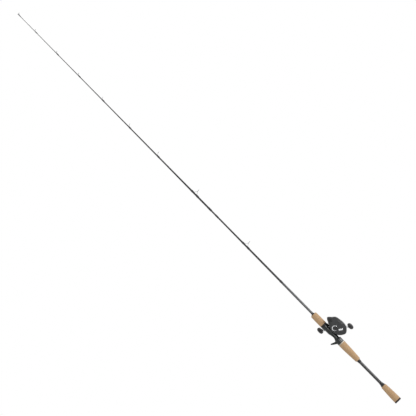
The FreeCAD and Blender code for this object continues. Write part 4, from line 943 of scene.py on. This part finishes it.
def dial():
    """Brake dial: knurled rim, dished face, grip bar and the stem behind it."""
    shell = Shell()
    profile = [(25.1, 0.001), (25.1, 7.95), (28.6, 8.0), (29.3, 8.0), (29.9, 7.4), (29.9, 6.2),
               (29.35, 5.6), (29.25, 0.001)]
    stem = [(17.2, 0.001), (17.2, 1.9), (25.2, 2.0), (25.2, 0.001)]

    def teeth(y, angle, r):
        cut = 0.38 * smoothstep(0.1, 0.8, np.cos(angle * 24)) * smoothstep(28.6, 28.9, y)
        return np.where(r > 7.2, r - cut, r)

    axes = across_reel(DIAL)
    shell.turned(softened(profile, 0.35, closed=False), axes, 360, teeth, closed=False)
    along = np.linspace(-1, 1, 24)
    bar = np.array([(DIAL[0] + s * 4.7, 29.45, DIAL[1] + s * 1.7) for s in along])
    ends = np.sqrt(np.clip(1 - along ** 8, 0.03, 1))
    shell.swept(bar, 1.15 * ends, 0.62 * ends, (-0.34, 0, 0.94), 24, 3.0)
    shell.turned(stem, axes, 40, closed=False)
    piece("brake_dial_fine", shell, ["brake_dial"])


dial()


def bezel():
    """Bright collar round the dial, set off centre so that it is wide on one side only."""
    bore = 8.22
    angle = around(180)
    outer = circle_radius(angle, BEZEL, BEZEL_R, DIAL)
    section = [(27.35, 0.0), (29.2, 0.0), (29.38, 0.06), (29.36, 0.35), (29.1, 0.85), (28.85, 1.0),
               (27.35, 1)]
    rows = []
    for y, share in section:
        r = bore + (outer - bore) * share
        rows.append(joined(DIAL[0] + r * np.cos(angle), y, DIAL[1] + r * np.sin(angle)))
    shell = Shell()
    shell.grid(np.array(rows), wrap_rows=True)
    piece("bezel_collar", shell, ["dial_bezel"], crease=35)


bezel()


def long_boss(shell, start, end, sections):
    """A boss with two round ends, given as (y, radius) sections."""
    start, end = np.array(start), np.array(end)
    along = (end - start) / np.linalg.norm(end - start)
    off = np.array((-along[1], along[0]))
    angle = around(96)
    centre = np.where((np.cos(angle) > 0)[:, None], end, start)
    rows = []
    for y, radius in sections:
        edge = centre + radius * (np.cos(angle)[:, None] * along + np.sin(angle)[:, None] * off)
        rows.append(joined(edge[:, 0], y, edge[:, 1]))
    shell.grid(np.array(rows))


def latch():
    """Quick-release lever: a broad domed wing, dished along its middle."""
    shell = Shell()
    long_boss(shell, (336.7, 28.8), (330.8, 36.9),
              ((28.56, 0.0001), (28.56, 2.9), (28.75, 3.1), (30, 3.1), (30.5, 2.85), (30.8, 2.4),
               (30.9, 1.8), (30.8, 1), (30.72, 0.0001)))
    piece("latch_wing", shell, ["side_cover_latch"], crease=50)


latch()


# ---- the rest of the reel
EDGE_WIDTHS = {"reel_frame": 0.35, "handle_side_cover": 0.35, "nose_cover": 0.35, "thumb_bar": 0.3,
               "spool": 0.15, "line_guide": 0.2, "handle_arm": 0.45, "handle_nut": 0.35,
               "cover_screws": 0.12}
for node, width in EDGE_WIDTHS.items():
    edged(node, width)


def star():
    """The drag star with its arms rounded as a forging's are."""
    obj = cad_copy("drag_star")
    obj.name = "drag_star_forged"
    finished(remeshed(obj, voxel=0.28, rounds=6), ["drag_star"], crease=80)


star()


def tension_cap():
    """Fluted spool tension knob."""
    profile = [(-31.7, 0.001), (-31.7, 6.6), (-32.0, 6.9), (-34.5, 6.9), (-35.2, 6.3), (-35.2, 4.6),
               (-34.9, 4.2), (-34.9, 0.001)]

    def flutes(y, angle, r):
        return np.where(r > 6.0, r - 0.42 * smoothstep(0.2, 0.9, np.cos(angle * 18)), r)

    shell = Shell()
    shell.turned(softened(profile, 0.3, closed=False), across_reel(SPOOL), 288, flutes, closed=False)
    piece("tension_knob_fine", shell, ["tension_knob"])


tension_cap()


def worm():
    """Level-wind shaft with its two crossed grooves, and the cog on its end."""
    ys = np.arange(-11.0, 11.001, 0.12)
    pitch = 7.0
    axes = across_reel(WORM)

    def grooves(y, angle, r):
        depth = np.zeros_like(r)
        for hand in (-1, 1):
            turn = (angle / TAU + hand * y / pitch) % 1.0
            off = np.minimum(turn, 1 - turn) * pitch
            depth = np.maximum(depth, 1 - smoothstep(0.35, 0.75, off))
        inside = 1 - smoothstep(9.2, 9.8, np.abs(y))
        return r - 0.85 * depth * inside

    shell = Shell()
    body = [(-11.0, 0.001), (-11.0, 2.7)] + [(y, 3.0) for y in ys[3:-3]] + [(11.0, 2.7), (11.0, 0.001)]
    shell.turned(body, axes, 96, grooves, closed=False)
    for start, end in ((-15.2, -10.8), (10.8, 13.6)):
        journal = softened(corners(start, end, 0.001, 1.8), 0.2, 3, closed=False)
        shell.turned(journal, axes, 48, closed=False)

    def teeth(y, angle, r):
        return np.where(r > 3.0, 3.4 + 1.05 * smoothstep(-0.35, 0.55, np.cos(angle * 16)), r)

    shell.turned(corners(-17.4, -15.0, 0.001, 4.4), axes, 256, teeth, closed=False)
    piece("worm_fine", shell, ["worm_shaft"])


worm()

eye = Shell()
eye.turned(softened(corners(-2.5, 2.5, 2.3, 3.38), 0.5, 6), leaning(*LINE_EYE, 0.0), 72)
piece("line_guide_ceramic", eye, ["line_guide_ring"], crease=80)

KNOB_NECK, KNOB_END = -48.0, -72.6
# Sections of a knob: (y, half width along the rod, half height).
KNOB_SECTIONS = [(KNOB_NECK, 5.4, 4.1), (-48.5, 6, 4.6), (-52, 7, 5), (-58, 9.6, 6.2),
                 (-65, 12.6, 7.8), (-70, 12.9, 8), (-72, 12.2, 7.4), (KNOB_END, 10.9, 6.2)]


def knob(node, direction):
    """Paddle knob: waisted neck, wide end, moulded grip ribs and a sunk end cap."""
    centre = (CRANK[0] + ARM_REACH * math.cos(direction), CRANK[1] + ARM_REACH * math.sin(direction))
    sections = flowing(KNOB_SECTIONS, 110)
    angle = around(144)
    c, s = np.cos(angle), np.sin(angle)
    shape_x, shape_z = superellipse(angle, 2.35)
    ribbed = smoothstep(0.72, 0.95, np.abs(s))
    rows = []
    for y, a, b in sections:
        face = ribbed * smoothstep(-54.0, -57.0, y) * smoothstep(-71.0, -68.5, y)
        rib = 0.24 * (0.5 + 0.5 * math.cos(y * TAU / 2.2)) * face
        hollow = 0.5 * smoothstep(0.8, 1.0, np.abs(s)) * math.exp(-((y + 62.5) / 5.0) ** 2)
        rows.append(joined(centre[0] + a * shape_x, y, centre[1] + (b + rib - hollow) * shape_z))
    for y, r in ((KNOB_END, 4.2), (-72.3, 3.9), (-71.4, 3.8), (-71.2, 0.001)):
        rows.append(joined(centre[0] + r * c, y, centre[1] + r * s))
    first = rows[0]
    middle = np.array((centre[0], KNOB_NECK, centre[1]))
    rows = [middle + (first - middle) * 0.001, middle + (first - middle) * 0.55] + rows
    shell = Shell()
    shell.grid(np.array(rows))
    piece(node + "_grip", shell, [node], crease=50)


for node, direction in KNOBS.items():
    knob(node, direction)


def arm_caps():
    """Black boots over the ends of the crank arm, where the knob axles pass through it."""
    shell = Shell()
    sections = [(-42.4, 0.0001), (-42.45, 3.2), (-42.7, 4.4), (-43.2, 5.2), (-43.9, 5.6), (-46.6, 5.6),
                (-47, 5.2), (-47.2, 4.6), (-47.2, 0.0001)]
    for direction in KNOBS.values():
        ray = np.array((math.cos(direction), math.sin(direction)))
        start, end = (np.array(CRANK) + ray * reach for reach in (ARM_REACH - 4.0, ARM_REACH))
        long_boss(shell, start, end, sections)
    piece("arm_end_boots", shell, [], body="crank", slot="black_trim", crease=50)


arm_caps()


# ---- studio, in metres but for the floor
FLOOR_Z, FLOOR_THICKNESS = -1200, 12.0
FLOOR_CORNERS = [(-600, -900), (2600, -900), (2600, 2000), (-600, 2000)]
# Soft lamps: name, place, size, power.
LAMPS = [("key", (0.33, 0.35, 1.2), 0.45, 10.0), ("fill", (0.33, 1.9, 0.75), 0.6, 8.0),
         ("back", (0.6, -1.6, 1.1), 1.2, 6.0)]
LAMP_TARGET = (0.9, 0, 0)
# Slope of the rod in the photo.
SLOPE_LEFT, SLOPE_UP = 0.70110, 0.71308
# A long lens far away: the photo shows hardly any perspective.
CAMERA_PLACE = (0.9881, 60.0, -0.0016)
FOCAL_LENGTH, SENSOR_WIDTH, CLIP_END = 1425.7, 36.0, 200.0


def studio():
    world = bpy.data.worlds.new("studio")
    bpy.context.scene.world = world
    world.use_nodes = True
    background = world.node_tree.nodes["Background"]
    background.inputs["Color"].default_value = (1, 1, 1, 1)
    background.inputs["Strength"].default_value = 1.0

    shell = Shell()
    top = np.array([[(x, y, FLOOR_Z) for x, y in FLOOR_CORNERS]], float)
    shell.grid(np.vstack([top, top - np.array((0, 0, FLOOR_THICKNESS))]), caps=True)
    floor = mesh_of("floor", shell)
    s = Surface("floor_paper", 0.85, specular=0.2)
    paper = s.ramp(s.noise(180, 3), [(0.3, (0.83, 0.83, 0.825)), (0.7, (0.88, 0.88, 0.875))])
    s.set("Base Color", paper)
    floor.data.materials.append(s.material)

    for name, place, size, energy in LAMPS:
        lamp = bpy.data.lights.new(name, "AREA")
        lamp.size, lamp.energy = size, energy
        obj = bpy.data.objects.new(name, lamp)
        obj.location = place
        aim = Vector(LAMP_TARGET) - Vector(place)
        obj.rotation_euler = aim.to_track_quat("-Z", "Y").to_euler()
        bpy.context.scene.collection.objects.link(obj)

    lens = bpy.data.cameras.new("camera")
    lens.lens, lens.sensor_width, lens.clip_end = FOCAL_LENGTH, SENSOR_WIDTH, CLIP_END
    camera = bpy.data.objects.new("camera", lens)
    right, up = Vector((-SLOPE_LEFT, 0, SLOPE_UP)), Vector((SLOPE_UP, 0, SLOPE_LEFT))
    turn = Matrix((right, up, right.cross(up))).transposed().to_4x4()
    camera.matrix_world = Matrix.Translation(CAMERA_PLACE) @ turn
    bpy.context.scene.collection.objects.link(camera)
    bpy.context.scene.camera = camera
    bpy.context.scene.view_settings.view_transform = "Standard"


studio()
